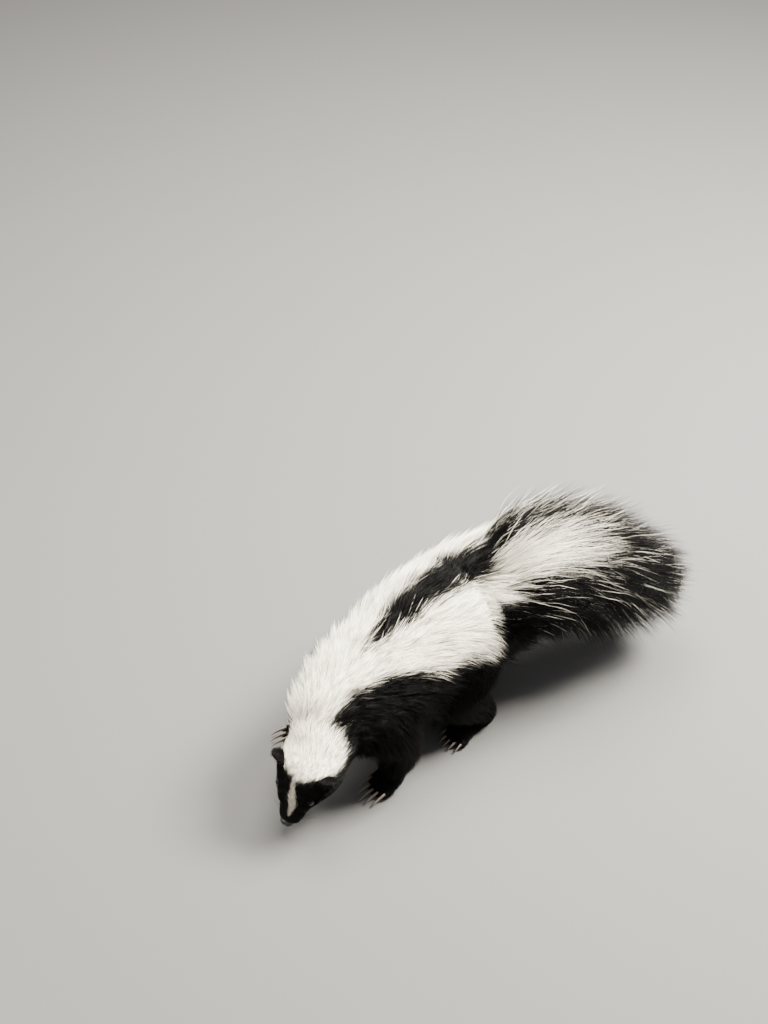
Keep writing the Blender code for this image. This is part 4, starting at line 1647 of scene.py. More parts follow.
@dataclass
class Survey:
    """Where places on the skin lie: the tube that owns them, station and angle."""

    points: Array
    sharpness: float = 0.0025
    chance: Pair = (0.02, 0.98)
    foot_from: float = 4.35
    foot_top: float = 0.017

    def settle(self, draw: np.random.Generator | None) -> "Survey":
        """Finds the owners.

        Args:
            draw: mixes the owners where two tubes meet, or None to take the nearest.

        Returns:
            This survey, filled in.
        """
        areas = list(TUBES)
        found = [TUBES[area].locate(self.points) for area in areas]
        away = np.array([entry[2] for entry in found])
        if draw is not None:
            mixed = draw.uniform(*self.chance, away.shape)
            away = away + self.sharpness * np.log(-np.log(mixed))
        self.owner = np.argmin(away, axis=0)
        rows = np.arange(len(self.points))
        self.at = np.array([entry[0] for entry in found])[self.owner, rows]
        self.turn = np.array([entry[1] for entry in found])[self.owner, rows]
        return self

    def of(self, area: Area) -> Array:
        """Which places a tube owns."""
        return self.owner == list(TUBES).index(area)

    def on_paw(self, area: Area) -> Array:
        """Which of a limb's places lie on its foot."""
        low = self.points[:, 2] < self.foot_top
        return self.of(area) & ((self.at > self.foot_from) | low)

    def white(self, jitter: Array) -> Array:
        """How white the coat is.

        Args:
            jitter: one number a place, about 0.

        Returns:
            0 for black to 1 for white.
        """
        made = np.zeros(len(self.points))
        for area in TUBES:
            own = self.of(area)
            here = (self.at[own], self.turn[own], self.points[own], jitter[own])
            made[own] = MARKS.white(area, *here)
        return made


@dataclass(frozen=True)
class CoatPlan:
    """Lengths, widths and lie of one area's hair. Lengths and widths are for each station."""

    name: str
    areas: tuple[Area, ...]
    lengths: tuple[float, ...]
    widths: tuple[float, ...]
    density: tuple[float, ...]
    segments: int
    droop: float = 0.0
    clump: float = 0.5
    clump_size: int = 9
    spread: float = 0.10
    overhang: float = 0.30
    wild: float = 0.10
    wild_lift: float = 1.15
    wild_width: float = 0.6
    wild_length: float = 1.0
    puff: float = 1.0
    curve: float = 1.5
    loose: float = 0.02
    hackles: float = 0.0
    ends_short: float = 0.6
    hang: float = 0.0


COATS = (
    CoatPlan(
        name="head",
        areas=(Area.HEAD,),
        lengths=metres(1.2, 2, 3, 4.2, 6, 9.5, 13.5, 16.5, 19, 22, 24),
        widths=metres(0.26, 0.3, 0.36, 0.4, 0.46, 0.5, 0.6, 0.7, 0.8, 0.8, 0.8),
        density=(*[1.5] * 7, 1.35, 1.15, 1.0, 0.9),
        segments=2,
        clump=0.30,
        clump_size=6,
        spread=0.12,
    ),
    CoatPlan(
        name="trunk",
        areas=(Area.TRUNK,),
        lengths=metres(22, 24, 27, 31, 36, 40, 44, 47, 50, 54, 56),
        widths=metres(0.7, 0.7, 0.8, 0.8, 0.9, 0.9, 1, 1, 1, 1, 1),
        density=(0.90, 0.84, 0.76, 0.68, 0.62, *[0.60] * 6),
        segments=3,
        droop=0.26,
        clump=0.55,
        clump_size=11,
        spread=0.13,
        overhang=0.10,
        loose=0.05,
        hackles=0.7,
        hang=0.018,
    ),
    CoatPlan(
        name="tail",
        areas=(Area.TAIL,),
        lengths=metres(66, 82, 90, 92, 88, 80, 66, 40),
        widths=metres(0.8, 0.8, 0.8, 0.8, 0.8, 0.7, 0.7, 0.6),
        density=(1.30, 1.30, 1.25, 1.15, 1.05, 1.00, 1.00, 1.00),
        segments=4,
        clump=0.50,
        clump_size=9,
        spread=0.22,
        overhang=1.0,
        wild=0.22,
        wild_lift=1.0,
        loose=0.06,
        curve=1.15,
        hang=0.022,
        wild_length=1.14,
    ),
    CoatPlan(
        name="legs",
        areas=(Area.FRONT_LEFT, Area.FRONT_RIGHT, Area.HIND_LEFT, Area.HIND_RIGHT),
        lengths=metres(36, 34, 26, 18, 11, 6),
        widths=metres(0.9, 0.9, 0.8, 0.7, 0.6, 0.4),
        density=(0.52,) * 6,
        segments=2,
        clump=0.45,
        clump_size=8,
        spread=0.12,
        puff=1.6,
    ),
)


@dataclass
class Tufts:
    """Many tapered, closed tufts as arrays, one row a tuft."""

    paths: Array
    normals: Array
    widths: Array
    white_root: Array
    white_tip: Array
    chart: Array
    thickness: float = 0.42
    patch: float = 0.003
    roll: float = 0.8
    sharp: float = 0.7
    foot: float = 0.6
    waist: float = 0.9
    tip_from: Pair = (0.55, 0.92)
    ridge_patch: float = 0.12

    def arrays(self) -> list[Array]:
        """All that is stored tuft by tuft."""
        return [value for value in vars(self).values() if isinstance(value, Array)]

    def subset(self, chosen: Array) -> "Tufts":
        """Some of the tufts."""
        return Tufts(*[values[chosen] for values in self.arrays()])

    @staticmethod
    def faces(rings: int) -> list[tuple[int, ...]]:
        """Faces of one tuft.

        Args:
            rings: how many rings it has below its tip.

        Returns:
            Vertex numbers of its sides, then of its foot and its tip.
        """
        pairs = ((0, 1), (1, 2), (2, 0))
        sides = [(k + i, k + 3 + i, k + 3 + j, k + j)
                 for k in range(0, (rings - 1) * 3, 3) for i, j in pairs]
        top = (rings - 1) * 3
        return [*sides, (0, 1, 2), *[(top + i, top + 3, top + j) for i, j in pairs]]

    def build(self, name: str, draw: np.random.Generator) -> Object:
        """One mesh of all tufts.

        Args:
            name: the object's name.
            draw: random numbers.

        Returns:
            The object, with marks and bake coordinates.
        """
        count, rings = self.paths.shape[0], self.paths.shape[1] - 1
        shares = np.linspace(0, 1, rings + 1)
        tangent = unit(np.gradient(self.paths, axis=1))
        side = unit(np.cross(tangent, self.normals[:, None, :]))
        rise = np.cross(side, tangent)
        roll = draw.uniform(-self.roll, self.roll, count)[:, None, None]
        turned = side * np.cos(roll) + rise * np.sin(roll)
        rise = np.cross(turned, tangent)
        profile = (1 - shares) ** self.sharp * (self.foot + self.waist * shares)
        half = self.widths[:, None, None] * profile[None, :, None] / 2
        body = self.paths[:, :rings]
        sides = (turned * half)[:, :rings]
        ridge = (rise * half * self.thickness * 2)[:, :rings]
        ring_points = np.stack([body + sides, body + ridge, body - sides], axis=2)
        verts = np.concatenate(
            [ring_points.reshape(count, rings * 3, 3), self.paths[:, rings:]], axis=1
        )
        per = rings * 3 + 1
        faces = self.faces(rings)
        corners = np.array([v for face in faces for v in face])
        loops = (np.arange(count)[:, None] * per + corners[None]).ravel()
        totals = np.tile([len(face) for face in faces], count)
        starts = np.concatenate([[0], np.cumsum(totals)[:-1]])
        mesh = bpy.data.meshes.new(name)
        mesh.vertices.add(count * per)
        mesh.vertices.foreach_set("co", verts.astype(np.float32).ravel())
        mesh.loops.add(len(loops))
        mesh.loops.foreach_set("vertex_index", loops.astype(np.int32))
        mesh.polygons.add(len(totals))
        mesh.polygons.foreach_set("loop_start", starts.astype(np.int32))
        mesh.update(calc_edges=True)
        mesh.validate()
        mesh.shade_smooth()
        across = np.tile([0.0, 0.5, 1.0], rings)
        onward = np.repeat(shares[:rings], 3) - np.tile([0.0, self.ridge_patch, 0.0], rings)
        local = np.stack([np.append(across, 0.5), np.append(onward, 1.0)], axis=1)
        places = (self.chart[:, None] + (local * self.patch)[None]).reshape(-1, 2)
        layer = mesh.uv_layers.new(name="OFBake")
        layer.data.foreach_set("uv", places[loops].astype(np.float32).ravel())
        obj = linked(name, mesh)
        share = np.append(np.repeat(shares[:rings], 3), 1.0)
        change = ease(*self.tip_from, share)[None]
        white = self.white_root[:, None] * (1 - change) + self.white_tip[:, None] * change
        MeshKit.mark(obj, WHITE_MARK, white.ravel())
        MeshKit.mark(obj, SHARE_MARK, np.tile(share, count))
        MeshKit.mark(obj, SHADE_MARK, np.repeat(draw.uniform(0, 1, count), per))
        return obj


@dataclass(frozen=True)
class TailMix:
    """White strands among the tail's black hair, and black tips among its white hair.

    Shares are of all hairs. Pairs are angles in degrees or stations between which they change.
    """

    few: float = 0.04
    more: float = 0.09
    upper: Pair = (75.0, 40.0)
    under: Pair = (150.0, 110.0)
    starts: Pair = (0.3, 1.0)
    ends: Pair = (2.4, 1.4)
    white: float = 0.97
    dark_tips: float = 0.08
    dark_more: float = 0.30
    dark_from: Pair = (1.0, 3.0)


TAIL_MIX = TailMix()


@dataclass(frozen=True)
class ShortHair:
    """How short straight hair lies, clumps and varies."""

    astray: float = 0.14
    rises: Pair = (0.6, 1.3)
    sunk: float = 0.6
    curve: float = 1.6
    clumps: tuple[int, float, float] = (5, 0.3, 0.02)
    rise: float = 0.30
    width: float = 0.0005
    widths: Pair = (0.7, 1.2)
    half: float = 0.48


@dataclass(frozen=True)
class PawHair(ShortHair):
    """Short hair on the feet, whose length follows how far forward it grows."""

    density: float = 1.35
    forward: tuple[float, ...] = (-0.02, 0.0, 0.02)
    lengths: tuple[float, ...] = (0.0060, 0.0048, 0.0030)
    down: float = 0.35
    chart: Pair = (0.09, 0.05)


@dataclass(frozen=True)
class EarHair(ShortHair):
    """Fine hair on the back of the ears and inwards from their rims."""

    number: int = 1500
    stray: float = 0.0003
    behind: float = 0.1
    rim: float = 0.62
    upward: float = 0.9
    fan: float = 20.0
    back_length: float = 0.0042
    inner_length: float = 0.0050
    lengths: Pair = (0.7, 1.2)
    rise: float = 0.28
    width: float = 0.00045
    chart: Pair = (0.026, 0.03)


@dataclass
class Coat:
    """Grows tufts on the skin, from candidates for roots to each square millimetre.

    Ranges are shares of a plan's own values that are drawn for each tuft. Pairs of angles are in
    degrees and say where the hair of the sides turns into that of the underside.
    """

    skin: Object
    candidates: float = 1.7
    sunk: float = 0.0007
    clearance: float = 0.0006
    floor: float = 0.0008
    room: Triple = (-0.3410, 0.1320, 0.2150)
    most: int = 190000
    mixing: float = 0.5
    lips: float = 0.0009
    nose_reach: float = 0.0062
    sole_top: float = 0.0035
    sole_tilt: float = 0.2
    search: float = 0.012
    clump_power: float = 1.4
    clump_range: Pair = (0.4, 1.2)
    thin_angles: Pair = (110.0, 140.0)
    thinner: float = 0.4
    under_angles: Pair = (100.0, 140.0)
    shorter: float = 0.40
    hackle_stations: Pair = (5.0, 3.0)
    hackle_angles: Pair = (-10.0, -45.0)
    hang_angles: Pair = (50.0, 95.0)
    length_range: Pair = (0.74, 1.18)
    width_range: Pair = (0.75, 1.25)
    lift_range: Pair = (0.62, 0.98)
    hang_range: Pair = (0.5, 1.2)
    depth_ahead: float = 0.6
    steepest: float = 0.93
    shortest: float = 0.15
    wave: tuple[float, int] = (0.03, 21)
    own_spread: float = 0.5
    gather: float = 1.15
    least_high: float = 0.25
    chart_inset: float = 0.004

    def __post_init__(self) -> None:
        """Spreads roots evenly over the skin and finds where each lies."""
        self.draw = np.random.default_rng(SEED)
        mesh = self.skin.data
        mesh.calc_loop_triangles()
        corners = np.empty(len(mesh.loop_triangles) * 3, dtype=np.int32)
        mesh.loop_triangles.foreach_get("vertices", corners)
        corners = corners.reshape(-1, 3)
        points = MeshKit.places(self.skin)
        normals = Skin.normals(self.skin)
        first, second, third = (points[corners[:, k]] for k in range(3))
        area = np.linalg.norm(np.cross(second - first, third - first), axis=1) / 2
        wanted = area * MM2_PER_M2 * self.candidates
        number = np.floor(wanted + self.draw.uniform(size=len(area))).astype(int)
        chosen = np.repeat(np.arange(len(area)), number)
        share = self.draw.uniform(size=(len(chosen), 2))
        over = share.sum(axis=1) > 1
        share[over] = 1 - share[over]
        weight = np.column_stack([1 - share.sum(axis=1), share])[:, :, None]
        self.roots = (points[corners[chosen]] * weight).sum(axis=1)
        self.normals = unit((normals[corners[chosen]] * weight).sum(axis=1))
        self.tree = BVHTree.FromPolygons(points.tolist(), corners.tolist())
        self.survey = Survey(self.roots).settle(self.draw)
        self.jitter = self.draw.normal(size=len(self.roots)) * self.mixing
        self.white = self.survey.white(self.jitter)
        self.free = self.growing()

    def growing(self) -> Array:
        """Where hair grows at all: not on lids' rims, lips, soles or under the nose pad.

        Returns:
            True or false for each root.
        """
        free = MOUTH.distance(self.roots) > self.lips
        for eye in EYES:
            free &= ~eye.bare(self.roots)
        nose = head_point(*Nose.centre)
        free &= np.linalg.norm(self.roots - nose, axis=1) > self.nose_reach
        sole = (self.roots[:, 2] < self.sole_top) & (self.normals[:, 2] < self.sole_tilt)
        return free & ~sole

    def clear(self, paths: Array, least: Array) -> Array:
        """Lifts paths off the skin and the floor.

        Args:
            paths: places, root first.
            least: the least height over the skin at each place but the root.

        Returns:
            The paths moved.
        """
        made = paths.copy()
        for i, k in np.ndindex(least.shape):
            place = Vector(made[i, k + 1])
            near, normal, _, _ = self.tree.find_nearest(place, self.search)
            if near is not None and (place - near).dot(normal) < least[i, k]:
                made[i, k + 1] = near + normal * least[i, k]
        made[:, 1:, 0] = np.maximum(made[:, 1:, 0], self.room[0])
        made[:, 1:, 1] = np.minimum(made[:, 1:, 1], self.room[1])
        made[:, 1:, 2] = np.clip(made[:, 1:, 2], self.floor, self.room[2])
        return made

    def clumped(self, paths: Array, size: int, strength: float, loose: float) -> Array:
        """Draws the tips of neighbours together.

        Args:
            paths: places, root first.
            size: about how many tufts lie in one clump.
            strength: how close the tips come, 0 to 1.
            loose: how far the clumps stray, as a share of their length.

        Returns:
            The paths moved.
        """
        count = len(paths)
        leaders = self.draw.choice(count, max(1, count // size), replace=False)
        tree = KDTree(len(leaders))
        for k, i in enumerate(leaders):
            tree.insert(paths[i, 0], k)
        tree.balance()
        owner = np.array([tree.find(root)[1] for root in paths[:, 0]])
        near = leaders[owner]
        shares = np.linspace(0, 1, paths.shape[1]) ** self.clump_power
        own = strength * self.draw.uniform(*self.clump_range, count)
        pull = np.clip(own[:, None] * shares[None], 0, 1)[:, :, None]
        length = np.linalg.norm(paths[:, -1] - paths[:, 0], axis=1)
        stray = self.draw.normal(size=(len(leaders), 3))[owner] * (length * loose)[:, None]
        return paths * (1 - pull) + paths[near] * pull + stray[:, None] * shares[None, :, None]

    def grow(self, plan: CoatPlan, area: Area) -> Tufts:
        """The tufts of one tube.

        Args:
            plan: lengths, widths and lie.
            area: the tube's name.

        Returns:
            The tufts.
        """
        tube = TUBES[area]
        own = self.survey.of(area) & self.free
        if area.value in [paw.name for paw in PAWS]:
            own &= ~self.survey.on_paw(area)
        below = ease(*self.thin_angles, np.abs(np.degrees(self.survey.turn)))
        stations = np.arange(tube.last + 1)
        density = np.interp(self.survey.at, stations, plan.density)
        density = density * (1 - self.thinner * below)
        own &= self.draw.uniform(size=len(own)) < density / self.candidates
        roots, normals = self.roots[own], self.normals[own]
        at, turn = self.survey.at[own], self.survey.turn[own]
        chart = self.chart(tube, at, turn)
        count = len(roots)
        uniform = self.draw.uniform
        length = np.interp(at, stations, plan.lengths) * uniform(*self.length_range, count)
        width = np.interp(at, stations, plan.widths) * uniform(*self.width_range, count)
        wild = uniform(size=count) < plan.wild
        width = np.where(wild, width * plan.wild_width, width)
        length = np.where(wild, length * plan.wild_length, length)
        colours = self.colours(area, self.white[own], at, turn)
        hackles = plan.hackles * ease(*self.hackle_stations, at)
        hackles = hackles * ease(*self.hackle_angles, np.degrees(turn))
        if area in (Area.HEAD, Area.TRUNK, Area.TAIL):
            tube = FLOW
            at, turn, _ = tube.locate(roots)
        under = ease(*self.under_angles, np.abs(np.degrees(turn)))
        if area is Area.TRUNK:
            length = length * (1 - self.shorter * under)
        depth = tube.coat(tube.onward(at, length * self.depth_ahead))
        if area is Area.TRUNK:
            depth = depth * (1 - under) + np.minimum(depth, BELLY_COAT) * under
        lift = np.where(wild, plan.wild_lift, 1.0) * uniform(*self.lift_range, count)
        lift = lift * plan.puff
        high = np.minimum(depth * lift * (1 + hackles), length * self.steepest)
        flat = np.sqrt(length**2 - high**2)
        room = tube.between(at, tube.last - uniform(0.0, plan.ends_short, count))
        flat = np.minimum(flat, np.maximum(room, length * self.shortest))
        bend = plan.droop * np.sin(turn) + Wave(*self.wave).at(roots) * plan.spread
        bend = bend + self.draw.normal(size=count) * plan.spread * self.own_spread
        hang = plan.hang * ease(*self.hang_angles, np.abs(np.degrees(turn)))
        hang = hang * uniform(*self.hang_range, count)
        shares = np.linspace(0, 1, plan.segments + 1)
        start = tube.blend(tube.sizes, at)[:, :3]
        offset = roots - tube.points(at, turn, np.zeros(count))
        paths = np.empty((count, len(shares), 3))
        for k, share in enumerate(shares):
            along = flat * share**self.gather
            height = high * (1 - (1 - share) ** plan.curve)
            widest = start - (along * plan.overhang)[:, None]
            reached, twisted = tube.onward(at, along), turn + bend * share**2
            paths[:, k] = offset + tube.points(reached, twisted, height, widest)
            paths[:, k, 2] -= hang * share**2
        paths[:, 0] = roots - normals * self.sunk
        paths = self.clumped(paths, plan.clump_size, plan.clump, plan.loose)
        least = self.clearance + high[:, None] * self.least_high * shares[None, 1:]
        paths = self.clear(paths, np.minimum(least, high[:, None]))
        return Tufts(paths, normals, width, *colours, chart)

    def colours(self, area: Area, white: Array, at: Array, turn: Array) -> tuple[Array, Array]:
        """How white each tuft is, with white strands among the black ones of the tail.

        Args:
            area: whose hair it is.
            white: how white the roots are.
            at: stations.
            turn: angles in radians.

        Returns:
            Whiteness at the roots and at the tips.
        """
        if area is not Area.TAIL:
            return white, white
        count, mix = len(at), TAIL_MIX
        away = np.abs(np.degrees(turn))
        upper = ease(*mix.upper, away)
        strand = mix.few + mix.more * ease(*mix.starts, at) * upper * ease(*mix.ends, at)
        strand = strand * ease(*mix.under, away)
        chance = np.maximum(white * mix.white, strand)
        root = (self.draw.uniform(size=count) < chance).astype(float)
        dark = mix.dark_tips + mix.dark_more * ease(*mix.dark_from, at)
        dark_tip = self.draw.uniform(size=count) < dark
        return root, root * (1 - dark_tip)

    @staticmethod
    def chart(tube: Tube, at: Array, turn: Array) -> Array:
        """Places on the tube's unrolled skin, 0 to 1 both ways."""
        return np.column_stack([at / tube.last, turn / (2 * math.pi) + 0.5])

    def grow_free(self, roots: Array, normals: Array, lie: Array,
                  length: Array, hair: ShortHair, chart: Array) -> Tufts:
        """Short straight tufts that lie along given directions.

        Args:
            roots: places on a surface.
            normals: directions out of it.
            lie: the directions that the hair lies in.
            length: the tufts' lengths.
            hair: how far they stand off and how wide they are.
            chart: their places for baking.

        Returns:
            The tufts.
        """
        count = len(roots)
        lie = lie + self.draw.normal(size=(count, 3)) * hair.astray
        lie = unit(lie - normals * dot(lie, normals))
        stand = (length * hair.rise * self.draw.uniform(*hair.rises, count))[:, None]
        flat = np.sqrt(np.maximum(length[:, None] ** 2 - stand**2, 0))
        steps = [roots - normals * self.sunk * hair.sunk]
        for share in (0.5, 1.0):
            high = normals * stand * (1 - (1 - share) ** hair.curve)
            steps.append(roots + lie * flat * share + high)
        paths = self.clumped(np.stack(steps, axis=1), *hair.clumps)
        paths[:, :, 2] = np.maximum(paths[:, :, 2], self.floor)
        dark = np.zeros(count)
        widths = hair.width * self.draw.uniform(*hair.widths, count)
        return Tufts(paths, normals, widths, dark, dark, chart)

    def on_paws(self) -> Tufts:
        """Short hair on the feet that lies towards the toes.

        Returns:
            The tufts.
        """
        hair = PawHair()
        made = []
        for paw in PAWS:
            area = Area(paw.name)
            own = self.survey.on_paw(area) & self.free
            own &= self.draw.uniform(size=len(own)) < hair.density / self.candidates
            roots, normals = self.roots[own], self.normals[own]
            axes = paw.axes()
            near = roots - paw.place(0, 0, 0)
            forward, side = near @ axes.along, near @ axes.left
            length = np.interp(forward, hair.forward, hair.lengths)
            lie = np.tile(axes.along - axes.up * hair.down, (len(roots), 1))
            chart = np.column_stack([forward / hair.chart[0] + 0.5, side / hair.chart[1] + 0.5])
            corner = np.array((paw.centre[0] < 0, paw.centre[1] < 0)) * 0.5
            chart = chart * hair.half + corner
            made.append(self.grow_free(roots, normals, lie, length, hair, chart))
        return joined(made)

    def on_ears(self, cups: list[Object]) -> Tufts:
        """Fine hair on the ears, along the back of the cup and inwards from its rim.

        Args:
            cups: the ears' meshes, in the order of EARS.

        Returns:
            The tufts.
        """
        hair = EarHair()
        made = []
        for ear, cup, half in zip(EARS, cups, (0.0, 0.5)):
            points = MeshKit.places(cup)
            normals = Skin.normals(cup)
            chosen = self.draw.integers(0, len(points), hair.number)
            spot = self.draw.normal(size=(hair.number, 3)) * hair.stray
            roots, out = points[chosen] + spot, normals[chosen]
            near = roots - ear.centre
            back = out @ ear.axes.along < hair.behind
            edge = np.hypot(near @ ear.axes.left / ear.radii[0], near @ ear.axes.up / ear.radii[1])
            keep = back | (edge > hair.rim)
            roots, out, near, back = roots[keep], out[keep], near[keep], back[keep]
            inward = unit(-near) + ear.axes.up * hair.upward
            lie = np.where(back[:, None], ear.axes.up + near * hair.fan, inward)
            length = np.where(back, hair.back_length, hair.inner_length)
            length = length * self.draw.uniform(*hair.lengths, len(roots))
            across = near @ ear.axes.left / hair.chart[0] * hair.half + 0.25 + half
            chart = np.column_stack([across, near @ ear.axes.up / hair.chart[1] + 0.5])
            made.append(self.grow_free(roots, out, lie, length, hair, chart))
        return joined(made)

    def pieces(self, tufts: Tufts, name: str, material: Material) -> list[Object]:
        """Meshes of the tufts, none of them too large.

        Args:
            tufts: all tufts of one coat.
            name: what the pieces are called.
            material: their finish.

        Returns:
            The objects.
        """
        each = 6 * (tufts.paths.shape[1] - 1) - 2
        number = math.ceil(len(tufts.paths) * each / self.most)
        order = np.argsort(tufts.chart[:, 0])
        made = []
        for k, part in enumerate(np.array_split(order, number)):
            some = tufts.subset(part)
            low, high = some.chart.min(axis=0), some.chart.max(axis=0)
            wide = 1 - 3 * self.chart_inset
            some.chart = self.chart_inset + (some.chart - low) / (high - low) * wide
            obj = some.build(f"coat_{name}_{k + 1}", self.draw)
            obj.data.materials.append(material)
            LOG.info("%s: %d tufts, %d triangles", obj.name, len(part), len(part) * each)
            made.append(obj)
        return made


def joined(groups: list[Tufts]) -> Tufts:
    """Several groups of tufts with the same number of rings as one."""
    arrays = zip(*[group.arrays() for group in groups])
    return Tufts(*[np.concatenate(values) for values in arrays])


@dataclass
class Repeater:
    """Places copies of one shape on points, turned and sized as the points say."""

    name: str
    seed: int = 4
    wobble: float = 0.08
    floor: float = 0.0003

    def tree(self) -> tuple[bpy.types.NodeTree, dict[str, str]]:
        """The node tree.

        Returns:
            The tree and the identifiers of its inputs.
        """
        tree = bpy.data.node_groups.new(self.name + "_nodes", "GeometryNodeTree")
        face = tree.interface
        face.new_socket("Geometry", in_out="OUTPUT", socket_type="NodeSocketGeometry")
        kinds = {
            "Geometry": "NodeSocketGeometry",
            "Shape": "NodeSocketObject",
            "Finish": "NodeSocketMaterial",
            "Seed": "NodeSocketInt",
            "Wobble": "NodeSocketFloat",
        }
        ids = {}
        for key, kind in kinds.items():
            made = face.new_socket(key, in_out="INPUT", socket_type=kind)
            ids[key] = made.identifier

        nodes = Nodes(tree)
        given = nodes.node("NodeGroupInput", {}, {}).outputs
        start = {key: Socket(nodes, given[key]) for key in kinds}
        named, vector = "GeometryNodeInputNamedAttribute", {"data_type": "FLOAT_VECTOR"}
        turn = nodes.value(named, vector, {"Name": "turn"}, "Attribute")
        size = nodes.value(named, vector, {"Name": "size"}, "Attribute")
        rotation = nodes.value("FunctionNodeEulerToRotation", {}, {"Euler": turn})
        chance = nodes.value(
            "FunctionNodeRandomValue",
            {"data_type": "FLOAT"},
            {2: 1.0 - start["Wobble"], 3: 1.0 + start["Wobble"], "Seed": start["Seed"]},
            1,
        )
        inputs = {0: size, "Scale": chance}
        scale = nodes.value("ShaderNodeVectorMath", {"operation": "SCALE"}, inputs)
        shape = nodes.value("GeometryNodeObjectInfo", {}, {"Object": start["Shape"]}, "Geometry")
        inputs = {"Points": start["Geometry"], "Instance": shape, "Rotation": rotation}
        copies = nodes.value(
            "GeometryNodeInstanceOnPoints", {}, inputs | {"Scale": scale}, "Instances"
        )
        real = nodes.value("GeometryNodeRealizeInstances", {}, {"Geometry": copies})
        inputs = {"Geometry": real, "Material": start["Finish"]}
        dressed = nodes.value("GeometryNodeSetMaterial", {}, inputs)
        nodes.node("NodeGroupOutput", {}, {"Geometry": dressed})
        return tree, ids

    def build(self, shape: Object, places: list[Array], turns: list[Matrix],
              sizes: list[Triple], finish: Material) -> Object:
        """The copies as one mesh.

        Args:
            shape: what is repeated, pointing along +X from its root at the origin.
            places: where the roots go.
            turns: how each copy is turned.
            sizes: how each copy is scaled.
            finish: their material.

        Returns:
            The object.
        """
        obj = MeshKit.made(self.name, np.array(places), [])
        for key, values in (("turn", [m.to_euler() for m in turns]), ("size", sizes)):
            layer = obj.data.attributes.new(key, "FLOAT_VECTOR", "POINT")
            layer.data.foreach_set("vector", np.array(values, dtype=np.float32).ravel())
        tree, ids = self.tree()
        repeat = obj.modifiers.new("repeat", "NODES")
        repeat.node_group = tree
        repeat[ids["Shape"]] = shape
        repeat[ids["Finish"]] = finish
        repeat[ids["Seed"]] = self.seed
        repeat[ids["Wobble"]] = self.wobble
        MeshKit.settle(obj)
        places = MeshKit.places(obj)
        places[:, 2] = np.maximum(places[:, 2], self.floor)
        MeshKit.put_places(obj, places)
        bpy.data.objects.remove(shape)
        obj.data.shade_smooth()
        return obj


def aimed(along: Array, up: Array) -> Matrix:
    """A turn that points +X along a direction, with +Z towards another.

    Args:
        along: the direction.
        up: the other.

    Returns:
        The turn.
    """
    x = Vector(along).normalized()
    y = Vector(up).cross(x).normalized()
    return Matrix((x, y, x.cross(y))).transposed()


@dataclass
class Claws:
    """Long curved claws, one out of each toe."""

    sides: int = 10
    rings: int = 9
    arch: float = 0.13
    sink: float = 0.45
    splay: float = 0.12
    clearance: float = 0.0014
    last_ring: float = 0.96
    taper: float = 0.62
    keel: float = 0.35
    drop: float = 0.9
    tip: Triple = (1.0, 0.0, -0.85)
    fit: Pair = (0.98, 0.9)
    wobble: float = 0.02

    def shape(self) -> Object:
        """One claw of length, width and height one, from its root towards +X and down.

        Returns:
            The object.
        """
        loops = []
        turns = circle(self.sides)
        keel = np.where(np.cos(turns) < 0, 1.0 - self.keel * np.abs(np.cos(turns)), 1.0)
        for t in np.linspace(0, self.last_ring, self.rings):
            thin = (1 - t) ** self.taper
            across = 0.5 * thin * np.sin(turns) * keel
            above = 0.5 * thin * np.cos(turns)
            above = above + self.arch * 3 * math.sin(math.pi * t * self.drop) - t * self.drop
            loops.append(np.column_stack([np.full(self.sides, t), across, above]))
        return MeshKit.lofted("claw_shape", loops, np.array(self.tip))

    def build(self, finish: Material) -> Object:
        """All claws as one mesh.

        Args:
            finish: their material.

        Returns:
            The object.
        """
        places, turns, sizes = [], [], []
        for paw in PAWS:
            kind, axes = paw.kind, paw.axes()
            for offset, lag in paw.toes():
                start = kind.toe_reach - lag + kind.toe_radii[0] * self.sink
                root = paw.place(start, offset, kind.claw_height)
                tip = paw.place(start + kind.claw_length, offset * (1 + self.splay), 0.0)
                level = tip - root
                level[2] = 0.0
                places.append(root)
                turns.append(aimed(level, axes.up))
                tall = (kind.claw_height - self.clearance) / self.drop
                long, wide = kind.claw_length * self.fit[0], kind.claw_width * self.fit[1]
                sizes.append((long, wide, tall))
        repeater = Repeater("claws", wobble=self.wobble)
        return repeater.build(self.shape(), places, turns, sizes, finish)


